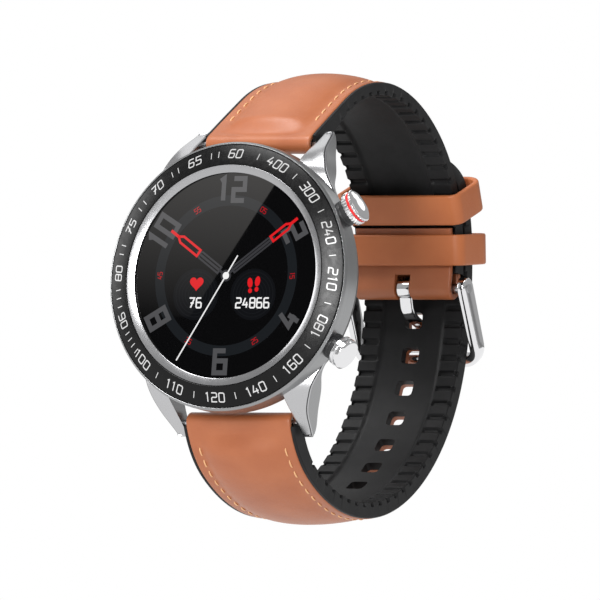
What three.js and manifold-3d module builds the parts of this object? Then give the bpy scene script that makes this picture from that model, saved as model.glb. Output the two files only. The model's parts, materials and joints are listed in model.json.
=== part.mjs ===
// A round 46 mm smartwatch, buckled shut on a padded leather strap with a rubber lining.
// Millimetres, +Z up. The watch is drawn in its own case frame and leans back as a whole:
// X points to 3 o'clock, Z to 12 o'clock, and Y runs from the face towards the wrist, with
// Y = 0 at the outer edge of the bezel. The finished group's origin is the wrist's centre.

import * as THREE from 'three';
import { mergeVertices } from 'three/addons/utils/BufferGeometryUtils.js';
import Module from 'manifold-3d';

const wasm = await Module();
wasm.setup();

// ---------------------------------------------------------------- driving dimensions

const LEAN = 8.1; // degrees that the watch leans back, 12 o'clock going away from the viewer
const WRIST_DEPTH = 35; // depth of the wrist's centre behind the bezel's outer edge
const ROUND_STEPS = 40; // steps round the case's large rings
const BUTTON_STEPS = 28; // steps round the crown's head and the pusher's cap
const INNER_STEPS = 24; // steps round the discs inside the case
const SMALL_STEPS = 20; // steps round pins, stems and bars

const CASE_R = 23;
const CASE_BORE_R = 19.6;
const CASE_BOTTOM = 4.4;
const BEZEL_R = 22.45;
const BEZEL_INNER_R = 18.95;
const BEZEL_RISE = 1.3; // how far the bezel's inner edge stands above its outer edge
const SHOULDER = 0.5; // depth of the case shoulder that the bezel rests on
const WINDOW_R = 17.57; // the clear opening over the display
const GLASS_R = 18.1;
const BACK_R = 22.3;
const BACK_BOTTOM = 7.7;
const DOME_BOTTOM = 9.2;
const SENSOR_WINDOW_R = 8.6;

const LUG_GAP = 22.4; // between the two lugs of a pair
const BAR = { y: 8.6, z: 23.8 }; // spring bar axis, mirrored below for 6 o'clock
const BAR_TUBE_R = 0.75;
const BAR_PIN_R = 0.45;
const BAR_PIN_REACH = 12.2; // how far from the middle a pin's tip reaches

const CROWN_ANGLE = 28.5; // degrees above 3 o'clock
const PUSHER_ANGLE = -30;
const BUTTON_DEPTH = 3.0; // depth of the crown's and pusher's axes
const BUTTON_BORE_R = 1.35;
const CROWN_R = 2.95;
const PUSHER_R = 2.7;

const NOSE_R = 1.7; // half the strap's thickness where it wraps a spring bar
const FOLD_R = 1.9; // and where it folds round the buckle bar
const NOSE_WRAP = 3.4; // arc length of the leather that goes all the way through
const STRAP_THICK = 2.3;
const FOLD_THICK = 3.6; // where the folded leather ends
const TAIL_THICK = 2.8;
const LEATHER_THICK = 1.0;
const LAYER_GAP = 0.1;
const STRAP_GAP = 0.35; // between the two strap ends where they overlap
const STRAP_WIDTH = 21.4; // rubber lining at the lugs
const LEATHER_INSET = 0.6; // the leather is narrower than the lining on each side
const STRAP_TAPER = 0.00136; // share of the width lost for each mm of depth
const FLEX_GAP = 0.4; // slit between the two solids of a strap half

// The outer line of the upper strap half, from the spring bar to the buckle bar:
// arcs as [length, turn in degrees].
const UPPER_HEADING = 36.9;
const UPPER_ARCS = [[13.2, -1], [17.9, -38.9], [18.6, -33.4], [29, -58.3]];
const UPPER_FLEX_AT = 27; // arc length from the spring bar to the flex line
// The tail's outer line, from its tip down to the lower spring bar. It starts concentric
// with the upper half's last arc, where the two lie on each other.
const TAIL_TIP_ANGLE = 41;
const TAIL_SHARED_ANGLE = 30.7;
const TAIL_ARCS = [[18.5, -16.3], [40.1, -61.9], [30.8, -51.2], [11.3, -36.5]];
const TAIL_FLEX_AT = 90; // arc length from the tip to the flex line
const STRAP_STEP = 2.6; // arc length of one step along a strap

const HOLE_COUNT = 7;
const HOLE_PITCH = 6.4;
const HOLE_FIRST_AT = 30; // arc length from the tail's tip to its first hole
const HOLE_SIZE = { across: 3.4, along: 3.0 };

const KEEPER_WIDTH = 5.3;
const FIXED_KEEPER = { angle: 9.8, halfWidth: 11.0, inner: 4.25, outer: 3.9, wall: 1.1 };
const FREE_KEEPER = { angle: 26.4, halfWidth: 11.1, inner: 4.0, outer: 3.75, wall: 1.0 };

const BUCKLE_BAR_R = 0.8;
const CROSSBAR = { y: 68.6, z: -4.7 };
const CROSSBAR_R = 1.3;
const ARM_INSIDE = 10.7;
const ARM_THICK = 1.6;
const TONGUE_WIDTH = 2.5;
const TONGUE_THICK = 0.8;
const TONGUE_SLOT_WIDTH = 3.2;

// ---------------------------------------------------------------- materials

function finish(color, roughness, metalness) {
  return { color, roughness, metalness };
}

const STEEL_BRUSHED = finish('#b9bcc0', 0.35, 1);
const STEEL_POLISHED = finish('#d5d7da', 0.12, 1);
const BEZEL_BLACK = finish('#151618', 0.3, 0.1);
const PLASTIC_BLACK = finish('#1b1b1d', 0.55, 0);
const RUBBER_BLACK = finish('#202022', 0.7, 0);
const LEATHER_TAN = finish('#b4623a', 0.5, 0);
const RED_PLASTIC = finish('#c81f26', 0.4, 0);
const GLASS_DARK = finish('#08080a', 0.05, 0);
const BOARD_GREEN = finish('#1f5a3a', 0.6, 0);
const CELL_GREY = finish('#8d9096', 0.5, 0.2);
const GOLD = finish('#d8b45a', 0.25, 1);

// ---------------------------------------------------------------- solid helpers

const radians = THREE.MathUtils.degToRad;
const { smoothstep } = THREE.MathUtils;

function signedVolume(positions, triangles) {
  const [a, b, c] = [new THREE.Vector3(), new THREE.Vector3(), new THREE.Vector3()];
  let volume = 0;
  for (let i = 0; i < triangles.length; i += 3) {
    a.fromArray(positions, 3 * triangles[i]);
    b.fromArray(positions, 3 * triangles[i + 1]);
    c.fromArray(positions, 3 * triangles[i + 2]);
    volume += a.dot(b.cross(c)) / 6;
  }
  return volume;
}

// One closed surface with shared corners, no slivers, and its faces pointing out.
function weld(geometry) {
  const bare = geometry.clone();
  bare.deleteAttribute('normal');
  bare.deleteAttribute('uv');
  const merged = mergeVertices(bare, 1e-4);
  const source = merged.index.array;
  const triangles = [];
  for (let i = 0; i < source.length; i += 3) {
    const [a, b, c] = [source[i], source[i + 1], source[i + 2]];
    if (a !== b && b !== c && c !== a) triangles.push(a, b, c);
  }
  if (signedVolume(merged.attributes.position.array, triangles) < 0) triangles.reverse();
  merged.setIndex(triangles);
  return merged;
}

function toSolid(geometry) {
  const welded = weld(geometry);
  return new wasm.Manifold(new wasm.Mesh({
    numProp: 3,
    vertProperties: new Float32Array(welded.attributes.position.array),
    triVerts: new Uint32Array(welded.index.array),
  }));
}

function toGeometry(solid) {
  const mesh = solid.getMesh();
  const geometry = new THREE.BufferGeometry();
  geometry.setAttribute('position', new THREE.BufferAttribute(mesh.vertProperties, 3));
  geometry.setIndex(new THREE.BufferAttribute(mesh.triVerts, 1));
  return geometry;
}

function join(first, ...others) {
  let solid = toSolid(first);
  for (const other of others) solid = solid.add(toSolid(other));
  return toGeometry(solid);
}

function cut(first, ...cutters) {
  let solid = toSolid(first);
  for (const cutter of cutters) solid = solid.subtract(toSolid(cutter));
  return toGeometry(solid);
}

function overlap(first, second) {
  return toGeometry(toSolid(first).intersect(toSolid(second)));
}

// A ring or disc turned about the watch's depth axis. Profile points are [radius, depth].
function turned(profile, steps = ROUND_STEPS) {
  const points = profile.map(([radius, depth]) => new THREE.Vector2(radius, depth));
  const closesOnAxis = profile[0][0] === 0 && profile.at(-1)[0] === 0;
  if (!closesOnAxis) points.push(points[0].clone());
  return weld(new THREE.LatheGeometry(points, steps));
}

// The same, turned about X: profile points are [distance along X, radius].
function turnedAlongX(profile, steps = SMALL_STEPS) {
  const swapped = profile.map(([along, radius]) => [radius, along]);
  return turned(swapped, steps).rotateZ(-Math.PI / 2);
}

function rod(from, to, radius, steps = SMALL_STEPS) {
  return turnedAlongX([[from, 0], [from, radius], [to, radius], [to, 0]], steps);
}

function tube(from, to, inner, outer, steps = SMALL_STEPS) {
  return turnedAlongX([[from, inner], [from, outer], [to, outer], [to, inner]], steps);
}

// A block given by its middle and its size along X, Y and Z.
function block(x, y, z, width, depth, height) {
  return new THREE.BoxGeometry(width, depth, height).translate(x, y, z);
}

// A side outline, drawn as (depth, height), extruded across the watch from x0 to x1.
function across(shape, x0, x1) {
  const geometry = new THREE.ExtrudeGeometry(shape, {
    depth: x1 - x0,
    bevelEnabled: false,
    curveSegments: 8,
  });
  const axes = new THREE.Matrix4().makeBasis(
    new THREE.Vector3(0, 1, 0),
    new THREE.Vector3(0, 0, 1),
    new THREE.Vector3(1, 0, 0),
  );
  return weld(geometry.applyMatrix4(axes).translate(x0, 0, 0));
}

// A closed outline through (depth, height) points, turned so that it runs anticlockwise.
function outline(points) {
  const corners = points.map(([y, z]) => new THREE.Vector2(y, z));
  if (THREE.ShapeUtils.isClockWise(corners)) corners.reverse();
  return new THREE.Shape(corners);
}

function circleHole(shape, y, z, radius) {
  const hole = new THREE.Path();
  hole.absarc(y, z, radius, 0, 2 * Math.PI, true);
  shape.holes.push(hole);
  return shape;
}

// ---------------------------------------------------------------- strap lines

// A line of tangent arcs in the (depth, height) plane, run clockwise seen from +X,
// so that its left side is the outside of the strap.
class ArcLine {
  constructor(start, heading, arcs) {
    this.pieces = [];
    let here = { y: start.y, z: start.z, heading: radians(heading) };
    let from = 0;
    for (const [length, turn] of arcs) {
      const radius = length / radians(turn);
      this.pieces.push({ from, length, radius, ...here });
      here = this.along(this.pieces.at(-1), length);
      from += length;
    }
    this.length = from;
  }

  along(piece, distance) {
    const heading = piece.heading + distance / piece.radius;
    return {
      y: piece.y + piece.radius * (Math.sin(heading) - Math.sin(piece.heading)),
      z: piece.z - piece.radius * (Math.cos(heading) - Math.cos(piece.heading)),
      heading,
    };
  }

  at(distance) {
    let piece = this.pieces[0];
    for (const next of this.pieces) if (next.from <= distance) piece = next;
    return this.along(piece, distance - piece.from);
  }

  // The point at a distance along the line, sunk below it by the given depth.
  below(distance, sunk) {
    const { y, z, heading } = this.at(distance);
    return [y + sunk * Math.sin(heading), z - sunk * Math.cos(heading)];
  }

  run(from, to, sunk) {
    const steps = Math.max(1, Math.round(Math.abs(to - from) / STRAP_STEP));
    return Array.from({ length: steps + 1 }, (_, i) => {
      const distance = from + (to - from) * i / steps;
      return this.below(distance, typeof sunk === 'function' ? sunk(distance) : sunk);
    });
  }

  centreAt(distance) {
    const { y, z, heading } = this.at(distance);
    const piece = this.pieces.filter((p) => p.from <= distance).at(-1);
    const radius = Math.abs(piece.radius);
    return { y: y + radius * Math.sin(heading), z: z - radius * Math.cos(heading), radius };
  }
}

const upperStart = {
  y: BAR.y - NOSE_R * Math.sin(radians(UPPER_HEADING)),
  z: BAR.z + NOSE_R * Math.cos(radians(UPPER_HEADING)),
};
const upperLine = new ArcLine(upperStart, UPPER_HEADING, UPPER_ARCS);
const wrap = upperLine.centreAt(upperLine.length);
const tailRadius = wrap.radius + STRAP_GAP + TAIL_THICK;
const tailTip = {
  y: wrap.y + tailRadius * Math.cos(radians(TAIL_TIP_ANGLE)),
  z: wrap.z + tailRadius * Math.sin(radians(TAIL_TIP_ANGLE)),
};
const tailLine = new ArcLine(tailTip, TAIL_TIP_ANGLE - 90, [
  [tailRadius * radians(TAIL_SHARED_ANGLE), -TAIL_SHARED_ANGLE],
  ...TAIL_ARCS,
]);
const [buckleBarY, buckleBarZ] = upperLine.below(upperLine.length, FOLD_R);

// How deep the inner face of each half lies: padded out to the bars at its ends.
function upperDepth(distance) {
  const toBuckle = upperLine.length - distance;
  const atLugs = 1 - smoothstep(distance, 0, 14);
  const atFold = 1 - smoothstep(toBuckle, 10.7, 18.4);
  const atBuckle = 1 - smoothstep(toBuckle, 2, 10.7);
  return STRAP_THICK
    + (2 * NOSE_R - STRAP_THICK) * atLugs
    + (FOLD_THICK - STRAP_THICK) * atFold
    + (2 * FOLD_R - FOLD_THICK) * atBuckle;
}

function tailDepth(distance) {
  const atLugs = smoothstep(distance, tailLine.length - 14, tailLine.length);
  return TAIL_THICK + (2 * NOSE_R - TAIL_THICK) * atLugs;
}

// Points round a bar's nose, from one bearing to another, in degrees.
function nosePoints(y, z, radius, from, to) {
  const steps = 8;
  return Array.from({ length: steps + 1 }, (_, i) => {
    const bearing = radians(from + (to - from) * i / steps);
    return [y + radius * Math.cos(bearing), z + radius * Math.sin(bearing)];
  });
}

// A strap layer narrows evenly with depth, from the lugs to the buckle.
function strapLayer(shape, width) {
  const geometry = across(shape, -width / 2, width / 2);
  const position = geometry.attributes.position;
  for (let i = 0; i < position.count; i += 1) {
    const narrowing = 1 - STRAP_TAPER * (position.getY(i) - BAR.y);
    position.setX(i, position.getX(i) * narrowing);
  }
  return geometry;
}

const LINING_TOP = LEATHER_THICK + LAYER_GAP;
const LEATHER_WIDTH = STRAP_WIDTH - 2 * LEATHER_INSET;

// ---------------------------------------------------------------- scene graph

const watch = new THREE.Group();
watch.rotation.x = -radians(LEAN);
watch.position.set(
  0,
  -WRIST_DEPTH * Math.cos(radians(LEAN)),
  WRIST_DEPTH * Math.sin(radians(LEAN)),
);

function piece(parent, name, geometry, look) {
  const mesh = new THREE.Mesh(weld(geometry), new THREE.MeshStandardMaterial(look));
  mesh.name = name;
  parent.add(mesh);
  return mesh;
}

// ---------------------------------------------------------------- case

function lugGeometry(side, end) {
  const inner = LUG_GAP / 2;
  const plan = new THREE.Shape();
  plan.moveTo(inner, 14);
  plan.lineTo(18.3, 13.9);
  plan.quadraticCurveTo(16.6, 17.0, 15.4, 20.0);
  plan.quadraticCurveTo(14.2, 22.5, 13.1, 26.6);
  plan.lineTo(inner, 26.6);
  const planSolid = new THREE.ExtrudeGeometry(plan, { depth: 18, bevelEnabled: false })
    .rotateX(Math.PI / 2)
    .translate(0, 15, 0);
  const profile = new THREE.Shape();
  profile.moveTo(0.9, 14);
  profile.quadraticCurveTo(0.8, 18.6, 1.9, 20.0);
  profile.lineTo(3.2, 21.0);
  profile.lineTo(5.2, 22.45);
  profile.lineTo(9.5, 25.55);
  profile.quadraticCurveTo(10.3, 26.1, 10.3, 25.2);
  profile.lineTo(10.3, 24.0);
  profile.lineTo(9.1, 22.2);
  profile.lineTo(8.0, 20.4);
  profile.lineTo(7.2, 18.2);
  profile.lineTo(5.5, 15.8);
  profile.lineTo(4.4, 14);
  const sideSolid = across(profile, inner, 19);
  const position = sideSolid.attributes.position;
  const outwardDrop = 0.42; // near the case, the lug's top falls away from its inner ridge
  for (let i = 0; i < position.count; i += 1) {
    const drop = outwardDrop * (1 - smoothstep(position.getZ(i), 19.4, 23));
    position.setY(i, position.getY(i) + drop * (position.getX(i) - inner));
  }
  const lug = overlap(planSolid, sideSolid);
  return weld(lug.scale(side, 1, end));
}

function caseGeometry() {
  const ring = turned([
    [CASE_BORE_R, SHOULDER],
    [BEZEL_R + 0.07, SHOULDER],
    [BEZEL_R + 0.1, 0],
    [CASE_R, SHOULDER],
    [CASE_R, CASE_BOTTOM],
    [CASE_BORE_R, CASE_BOTTOM],
  ]);
  const lugs = [[1, 1], [-1, 1], [1, -1], [-1, -1]].map(([side, end]) => lugGeometry(side, end));
  const boreRoom = turned([[0, -1], [CASE_BORE_R, -1], [CASE_BORE_R, 12], [0, 12]]);
  const faceRoom = turned([[0, -1], [BEZEL_R + 0.07, -1], [BEZEL_R + 0.07, SHOULDER], [0, SHOULDER]]);
  const backRoom = turned([
    [0, CASE_BOTTOM],
    [BACK_R + 0.15, CASE_BOTTOM],
    [BACK_R + 0.15, 12],
    [0, 12],
  ]);
  const gasketGroove = turned([[19.65, 4.1], [20.15, 4.1], [20.15, 5], [19.65, 5]]);
  const holes = [];
  for (const end of [1, -1]) {
    holes.push(rod(-12.6, 12.6, 0.58).translate(0, BAR.y, end * BAR.z));
  }
  for (const angle of [CROWN_ANGLE, PUSHER_ANGLE]) {
    holes.push(rod(18, 24, BUTTON_BORE_R).translate(0, BUTTON_DEPTH, 0).rotateY(-radians(angle)));
  }
  for (const { x, z } of screwPlaces) {
    holes.push(turned([[0, 2.0], [0.6, 2.0], [0.6, 5], [0, 5]], 12).translate(x, 0, z));
  }
  return cut(join(ring, ...lugs), boreRoom, faceRoom, backRoom, gasketGroove, ...holes);
}

const SCREW_CIRCLE_R = 20.95;
const screwPlaces = [50, 130, 230, 310].map((bearing) => ({
  x: SCREW_CIRCLE_R * Math.cos(radians(bearing)),
  z: SCREW_CIRCLE_R * Math.sin(radians(bearing)),
}));
const pinPlaces = [-3, 3].map((x) => ({ x, z: -11 }));

function backGeometry() {
  const shell = turned([
    [0, 8.4],
    [12.6, 8.4],
    [12.6, 6.9],
    [19.4, 6.9],
    [19.4, 4.55],
    [BACK_R, 4.55],
    [BACK_R, 5.4],
    [21.4, 7.2],
    [20.4, BACK_BOTTOM],
    [15.2, BACK_BOTTOM + 0.1],
    [13.9, 8.9],
    [12.6, DOME_BOTTOM],
    [0, DOME_BOTTOM],
  ]);
  const windowSeat = turned([
    [0, 8.75],
    [SENSOR_WINDOW_R + 0.1, 8.75],
    [SENSOR_WINDOW_R + 0.1, 10],
    [0, 10],
  ]);
  const screwHoles = screwPlaces.map(({ x, z }) => turned([
    [0, 4],
    [0.6, 4],
    [0.6, 6.6],
    [1.0, 6.7],
    [1.0, 9],
    [0, 9],
  ], 12).translate(x, 0, z));
  const pinHoles = pinPlaces.map(({ x, z }) => (
    turned([[0, 8], [0.95, 8], [0.95, 10], [0, 10]], 16).translate(x, 0, z)
  ));
  return cut(shell, windowSeat, ...screwHoles, ...pinHoles);
}

function buildCase() {
  const watchCase = new THREE.Group();
  watch.add(watchCase);

  piece(watchCase, 'mid_case', caseGeometry(), STEEL_BRUSHED);
  piece(watchCase, 'bezel_ring', turned([
    [BEZEL_INNER_R, 0.4],
    [BEZEL_INNER_R, -BEZEL_RISE + 0.08],
    [BEZEL_INNER_R + 0.1, -BEZEL_RISE],
    [BEZEL_R - 0.08, -0.02],
    [BEZEL_R, 0.06],
    [BEZEL_R, 0.4],
  ]), BEZEL_BLACK);
  piece(watchCase, 'display_ring', turned([
    [WINDOW_R, -0.83],
    [BEZEL_INNER_R - 0.1, -1.22],
    [BEZEL_INNER_R - 0.1, 0.6],
    [18.25, 0.6],
    [18.25, -0.5],
    [WINDOW_R, -0.5],
  ]), STEEL_POLISHED);
  piece(watchCase, 'cover_glass', turned([
    [0, -0.4],
    [GLASS_R, -0.4],
    [GLASS_R, 0.4],
    [0, 0.4],
  ]), GLASS_DARK);
  piece(watchCase, 'display_panel', turned([
    [0, 0.5],
    [17.6, 0.5],
    [17.6, 0.95],
    [0, 0.95],
  ], INNER_STEPS), GLASS_DARK);
  piece(watchCase, 'inner_frame', turned([
    [0, 1.1],
    [18.3, 1.1],
    [18.3, 0.75],
    [19.3, 0.75],
    [19.3, 1.55],
    [0, 1.55],
  ], INNER_STEPS), PLASTIC_BLACK);
  piece(watchCase, 'main_board', cut(
    turned([[0, 1.85], [16.2, 1.85], [16.2, 2.65], [0, 2.65]], INNER_STEPS),
    block(-13.5, 2.2, 10, 5, 3, 5),
  ), BOARD_GREEN);
  piece(watchCase, 'battery', block(0, 4.75, 1, 19, 3.5, 24), CELL_GREY);
  piece(watchCase, 'vibration_motor', turned([[0, 0], [3.9, 0], [3.9, 2.6], [0, 2.6]], 24)
    .translate(-14, 3.2, 0), STEEL_BRUSHED);
  piece(watchCase, 'speaker', block(13.2, 4.6, 0, 5.5, 2.8, 10), PLASTIC_BLACK);
  piece(watchCase, 'sensor_board', turned([
    [0, 7.1],
    [11.8, 7.1],
    [11.8, 7.6],
    [0, 7.6],
  ], INNER_STEPS), BOARD_GREEN);
  piece(watchCase, 'sensor_module', block(0, 8.0, 0, 7, 0.5, 5), PLASTIC_BLACK);
  piece(watchCase, 'case_gasket', turned([
    [19.75, 4.2],
    [20.05, 4.2],
    [20.05, 4.5],
    [19.75, 4.5],
  ]), RUBBER_BLACK);
  piece(watchCase, 'back_case', backGeometry(), PLASTIC_BLACK);
  piece(watchCase, 'sensor_window', turned([
    [0, 8.85],
    [SENSOR_WINDOW_R, 8.85],
    [SENSOR_WINDOW_R, 9.15],
    [SENSOR_WINDOW_R - 0.3, 9.4],
    [0, 9.4],
  ]), GLASS_DARK);
  pinPlaces.forEach(({ x, z }, i) => {
    piece(watchCase, `charging_pin_${i + 1}`, turned([[0, 8.6], [0.85, 8.6], [0.85, 9.3], [0, 9.3]], 16)
      .translate(x, 0, z), GOLD);
  });
  screwPlaces.forEach(({ x, z }, i) => {
    piece(watchCase, `case_screw_${i + 1}`, turned([
      [0, 2.3],
      [0.5, 2.3],
      [0.5, 6.8],
      [0.85, 6.8],
      [0.85, 7.5],
      [0, 7.5],
    ], 12).translate(x, 0, z), STEEL_POLISHED);
  });
}

// ---------------------------------------------------------------- crown and pusher

function buttonGroup(angle) {
  const group = new THREE.Group();
  group.rotation.y = -radians(angle);
  group.position.y = BUTTON_DEPTH;
  watch.add(group);
  return group;
}

// What the crown and the pusher share: a collar in the case wall, a stem with its seal,
// a clip that keeps the stem in, and the switch that the stem presses.
function buildStem(group, name) {
  piece(group, `${name}_collar`, turnedAlongX([
    [20.3, 0.9],
    [20.3, 1.22],
    [23.12, 1.22],
    [23.12, 2.2],
    [24.4, 2.2],
    [24.4, 0.9],
  ]), PLASTIC_BLACK);
  piece(group, `${name}_seal`, tube(22.1, 22.5, 0.65, 0.8), RUBBER_BLACK);
  piece(group, `${name}_stem`, turnedAlongX([
    [18.9, 0],
    [18.9, 0.35],
    [19.1, 0.55],
    [25.15, 0.55],
    [25.15, 0],
  ]), STEEL_BRUSHED);
  piece(group, `${name}_clip`, tube(19.9, 20.2, 0.65, 1.15), STEEL_BRUSHED);
  piece(group, `${name}_switch`, block(17.4, 0, 0, 1.6, 1.3, 2.6), PLASTIC_BLACK);
}

function buildCrown() {
  const group = buttonGroup(CROWN_ANGLE);
  buildStem(group, 'crown');
  const ribs = 14;
  const ribGap = 0.22;
  const grooves = Array.from({ length: ribs }, (_, i) => (
    block(25.0, 0, CROWN_R, 3, 0.3, 2 * ribGap).rotateX(i * 2 * Math.PI / ribs)
  ));
  piece(group, 'crown_head', cut(turnedAlongX([
    [24.3, 2.35],
    [24.3, 2.7],
    [24.45, CROWN_R],
    [25.35, CROWN_R],
    [25.35, 0],
    [25.2, 0],
    [25.2, 2.35],
  ], BUTTON_STEPS), ...grooves), STEEL_POLISHED);
  piece(group, 'crown_red_ring', tube(25.4, 25.65, 1.6, CROWN_R - 0.05, BUTTON_STEPS), RED_PLASTIC);
  piece(group, 'crown_cap', turnedAlongX([
    [25.4, 0],
    [25.4, 1.5],
    [25.7, 1.5],
    [25.7, CROWN_R],
    [26.05, CROWN_R],
    [26.2, 2.6],
    [26.42, 1.5],
    [26.5, 0],
  ], BUTTON_STEPS), STEEL_POLISHED);
}

function buildPusher() {
  const group = buttonGroup(PUSHER_ANGLE);
  buildStem(group, 'pusher');
  piece(group, 'pusher_cap', turnedAlongX([
    [25.2, 0],
    [25.2, 2.35],
    [24.3, 2.35],
    [24.3, PUSHER_R - 0.15],
    [24.45, PUSHER_R],
    [25.1, PUSHER_R],
    [25.15, PUSHER_R - 0.12],
    [25.3, PUSHER_R - 0.12],
    [25.35, PUSHER_R],
    [26.05, PUSHER_R],
    [26.3, PUSHER_R - 0.3],
    [26.3, 0],
  ], BUTTON_STEPS), STEEL_POLISHED);
}

// ---------------------------------------------------------------- spring bars

function buildSpringBar(name, end) {
  const bar = new THREE.Group();
  bar.position.set(0, BAR.y, end * BAR.z);
  watch.add(bar);
  piece(bar, `${name}_bar_tube`, tube(-9.7, 9.7, 0.55, BAR_TUBE_R), STEEL_BRUSHED);
  for (const [side, word] of [[-1, 'left'], [1, 'right']]) {
    const pin = turnedAlongX([
      [7.6, 0],
      [7.6, BAR_PIN_R],
      [BAR_PIN_REACH - 0.15, BAR_PIN_R],
      [BAR_PIN_REACH, BAR_PIN_R - 0.15],
      [BAR_PIN_REACH, 0],
    ], 12);
    piece(bar, `${name}_bar_pin_${word}`, side < 0 ? pin.rotateY(Math.PI) : pin, STEEL_BRUSHED);
  }
}

// ---------------------------------------------------------------- strap halves

const tubeHoleR = BAR_TUBE_R + 0.25;
const halfSlit = FLEX_GAP / 2;

function buildUpperStrap() {
  const bearing = UPPER_HEADING - 90;
  const near = UPPER_FLEX_AT - halfSlit;
  const nearCase = outline([
    ...upperLine.run(0.2, near, 0),
    ...upperLine.run(near, NOSE_WRAP, LEATHER_THICK),
    ...upperLine.run(NOSE_WRAP, 1.0, upperDepth),
    ...nosePoints(BAR.y, BAR.z, NOSE_R, bearing, bearing - 160),
  ]);
  circleHole(nearCase, BAR.y, BAR.z, tubeHoleR);
  piece(watch, 'upper_leather_near_case', strapLayer(nearCase, LEATHER_WIDTH), LEATHER_TAN);
  piece(watch, 'upper_lining_near_case', strapLayer(outline([
    ...upperLine.run(NOSE_WRAP + LAYER_GAP, near, LINING_TOP),
    ...upperLine.run(near, NOSE_WRAP + LAYER_GAP, upperDepth),
  ]), STRAP_WIDTH), RUBBER_BLACK);

  const foldFrom = upperLine.length - wrap.radius * radians(23);
  piece(watch, 'upper_lining_near_buckle', strapLayer(outline([
    ...upperLine.run(UPPER_FLEX_AT + halfSlit, foldFrom - LAYER_GAP, LINING_TOP),
    ...upperLine.run(foldFrom - LAYER_GAP, UPPER_FLEX_AT + halfSlit, upperDepth),
  ]), STRAP_WIDTH), RUBBER_BLACK);

  const foldBearing = THREE.MathUtils.radToDeg(upperLine.at(upperLine.length).heading) + 90;
  const leather = outline([
    ...upperLine.run(UPPER_FLEX_AT + halfSlit, upperLine.length, 0),
    ...nosePoints(buckleBarY, buckleBarZ, FOLD_R, foldBearing, foldBearing - 180).slice(1, -1),
    ...upperLine.run(upperLine.length, foldFrom, upperDepth),
    ...upperLine.run(foldFrom, UPPER_FLEX_AT + halfSlit, LEATHER_THICK),
  ]);
  circleHole(leather, buckleBarY, buckleBarZ, BUCKLE_BAR_R + 0.25);
  const tongueSlot = block(0, buckleBarY, buckleBarZ - 0.9, TONGUE_SLOT_WIDTH, 10, 6.4);
  piece(watch, 'upper_leather_near_buckle', cut(
    strapLayer(leather, LEATHER_WIDTH),
    tongueSlot,
  ), LEATHER_TAN);
}

function holeCutter(distance) {
  const { y, z, heading } = tailLine.at(distance);
  return new THREE.BoxGeometry(HOLE_SIZE.across, HOLE_SIZE.along, 9)
    .rotateX(heading)
    .translate(0, y, z);
}

function buildLowerStrap() {
  const caseEnd = tailLine.length;
  const arrival = THREE.MathUtils.radToDeg(tailLine.at(caseEnd).heading);
  const near = TAIL_FLEX_AT + halfSlit;
  const liningEnd = caseEnd - NOSE_WRAP;
  const nearCase = outline([
    ...tailLine.run(near, caseEnd - 0.6, 0),
    ...nosePoints(BAR.y, -BAR.z, NOSE_R, arrival + 70, arrival - 90),
    ...tailLine.run(caseEnd - 1.0, liningEnd, tailDepth),
    ...tailLine.run(liningEnd, near, LEATHER_THICK),
  ]);
  circleHole(nearCase, BAR.y, -BAR.z, tubeHoleR);
  piece(watch, 'lower_leather_near_case', strapLayer(nearCase, LEATHER_WIDTH), LEATHER_TAN);
  piece(watch, 'lower_lining_near_case', strapLayer(outline([
    ...tailLine.run(near, liningEnd - LAYER_GAP, LINING_TOP),
    ...tailLine.run(liningEnd - LAYER_GAP, near, tailDepth),
  ]), STRAP_WIDTH), RUBBER_BLACK);

  const holes = Array.from({ length: HOLE_COUNT }, (_, i) => holeCutter(HOLE_FIRST_AT + i * HOLE_PITCH));
  piece(watch, 'tail_lining', cut(strapLayer(outline([
    ...tailLine.run(0, TAIL_FLEX_AT - halfSlit, LINING_TOP),
    ...tailLine.run(TAIL_FLEX_AT - halfSlit, 0, TAIL_THICK),
  ]), STRAP_WIDTH), ...holes), RUBBER_BLACK);
  piece(watch, 'tail_leather', cut(strapLayer(outline([
    ...tailLine.run(0.4, TAIL_FLEX_AT - halfSlit, 0),
    ...tailLine.run(TAIL_FLEX_AT - halfSlit, 0.4, LEATHER_THICK),
  ]), LEATHER_WIDTH), ...holes), LEATHER_TAN);
}

// ---------------------------------------------------------------- keepers and buckle

function roundedRectangle(shape, left, bottom, right, top, radius) {
  shape.moveTo(left + radius, bottom);
  shape.lineTo(right - radius, bottom);
  shape.quadraticCurveTo(right, bottom, right, bottom + radius);
  shape.lineTo(right, top - radius);
  shape.quadraticCurveTo(right, top, right - radius, top);
  shape.lineTo(left + radius, top);
  shape.quadraticCurveTo(left, top, left, top - radius);
  shape.lineTo(left, bottom + radius);
  shape.quadraticCurveTo(left, bottom, left + radius, bottom);
  return shape;
}

// A keeper is a leather band round both strap ends, square to the strap at its angle.
function keeperGeometry({ angle, halfWidth, inner, outer, wall }) {
  const band = roundedRectangle(
    new THREE.Shape(),
    -halfWidth - wall,
    -inner - wall,
    halfWidth + wall,
    outer + wall,
    2.2,
  );
  band.holes.push(roundedRectangle(new THREE.Path(), -halfWidth, -inner, halfWidth, outer, 1.3));
  const bearing = radians(angle);
  const axes = new THREE.Matrix4().makeBasis(
    new THREE.Vector3(1, 0, 0),
    new THREE.Vector3(0, Math.cos(bearing), Math.sin(bearing)),
    new THREE.Vector3(0, -Math.sin(bearing), Math.cos(bearing)),
  );
  return new THREE.ExtrudeGeometry(band, {
    depth: KEEPER_WIDTH,
    bevelEnabled: false,
    curveSegments: 4,
  })
    .translate(0, 0, -KEEPER_WIDTH / 2)
    .applyMatrix4(axes)
    .translate(
      0,
      wrap.y + wrap.radius * Math.cos(bearing),
      wrap.z + wrap.radius * Math.sin(bearing),
    );
}

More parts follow.
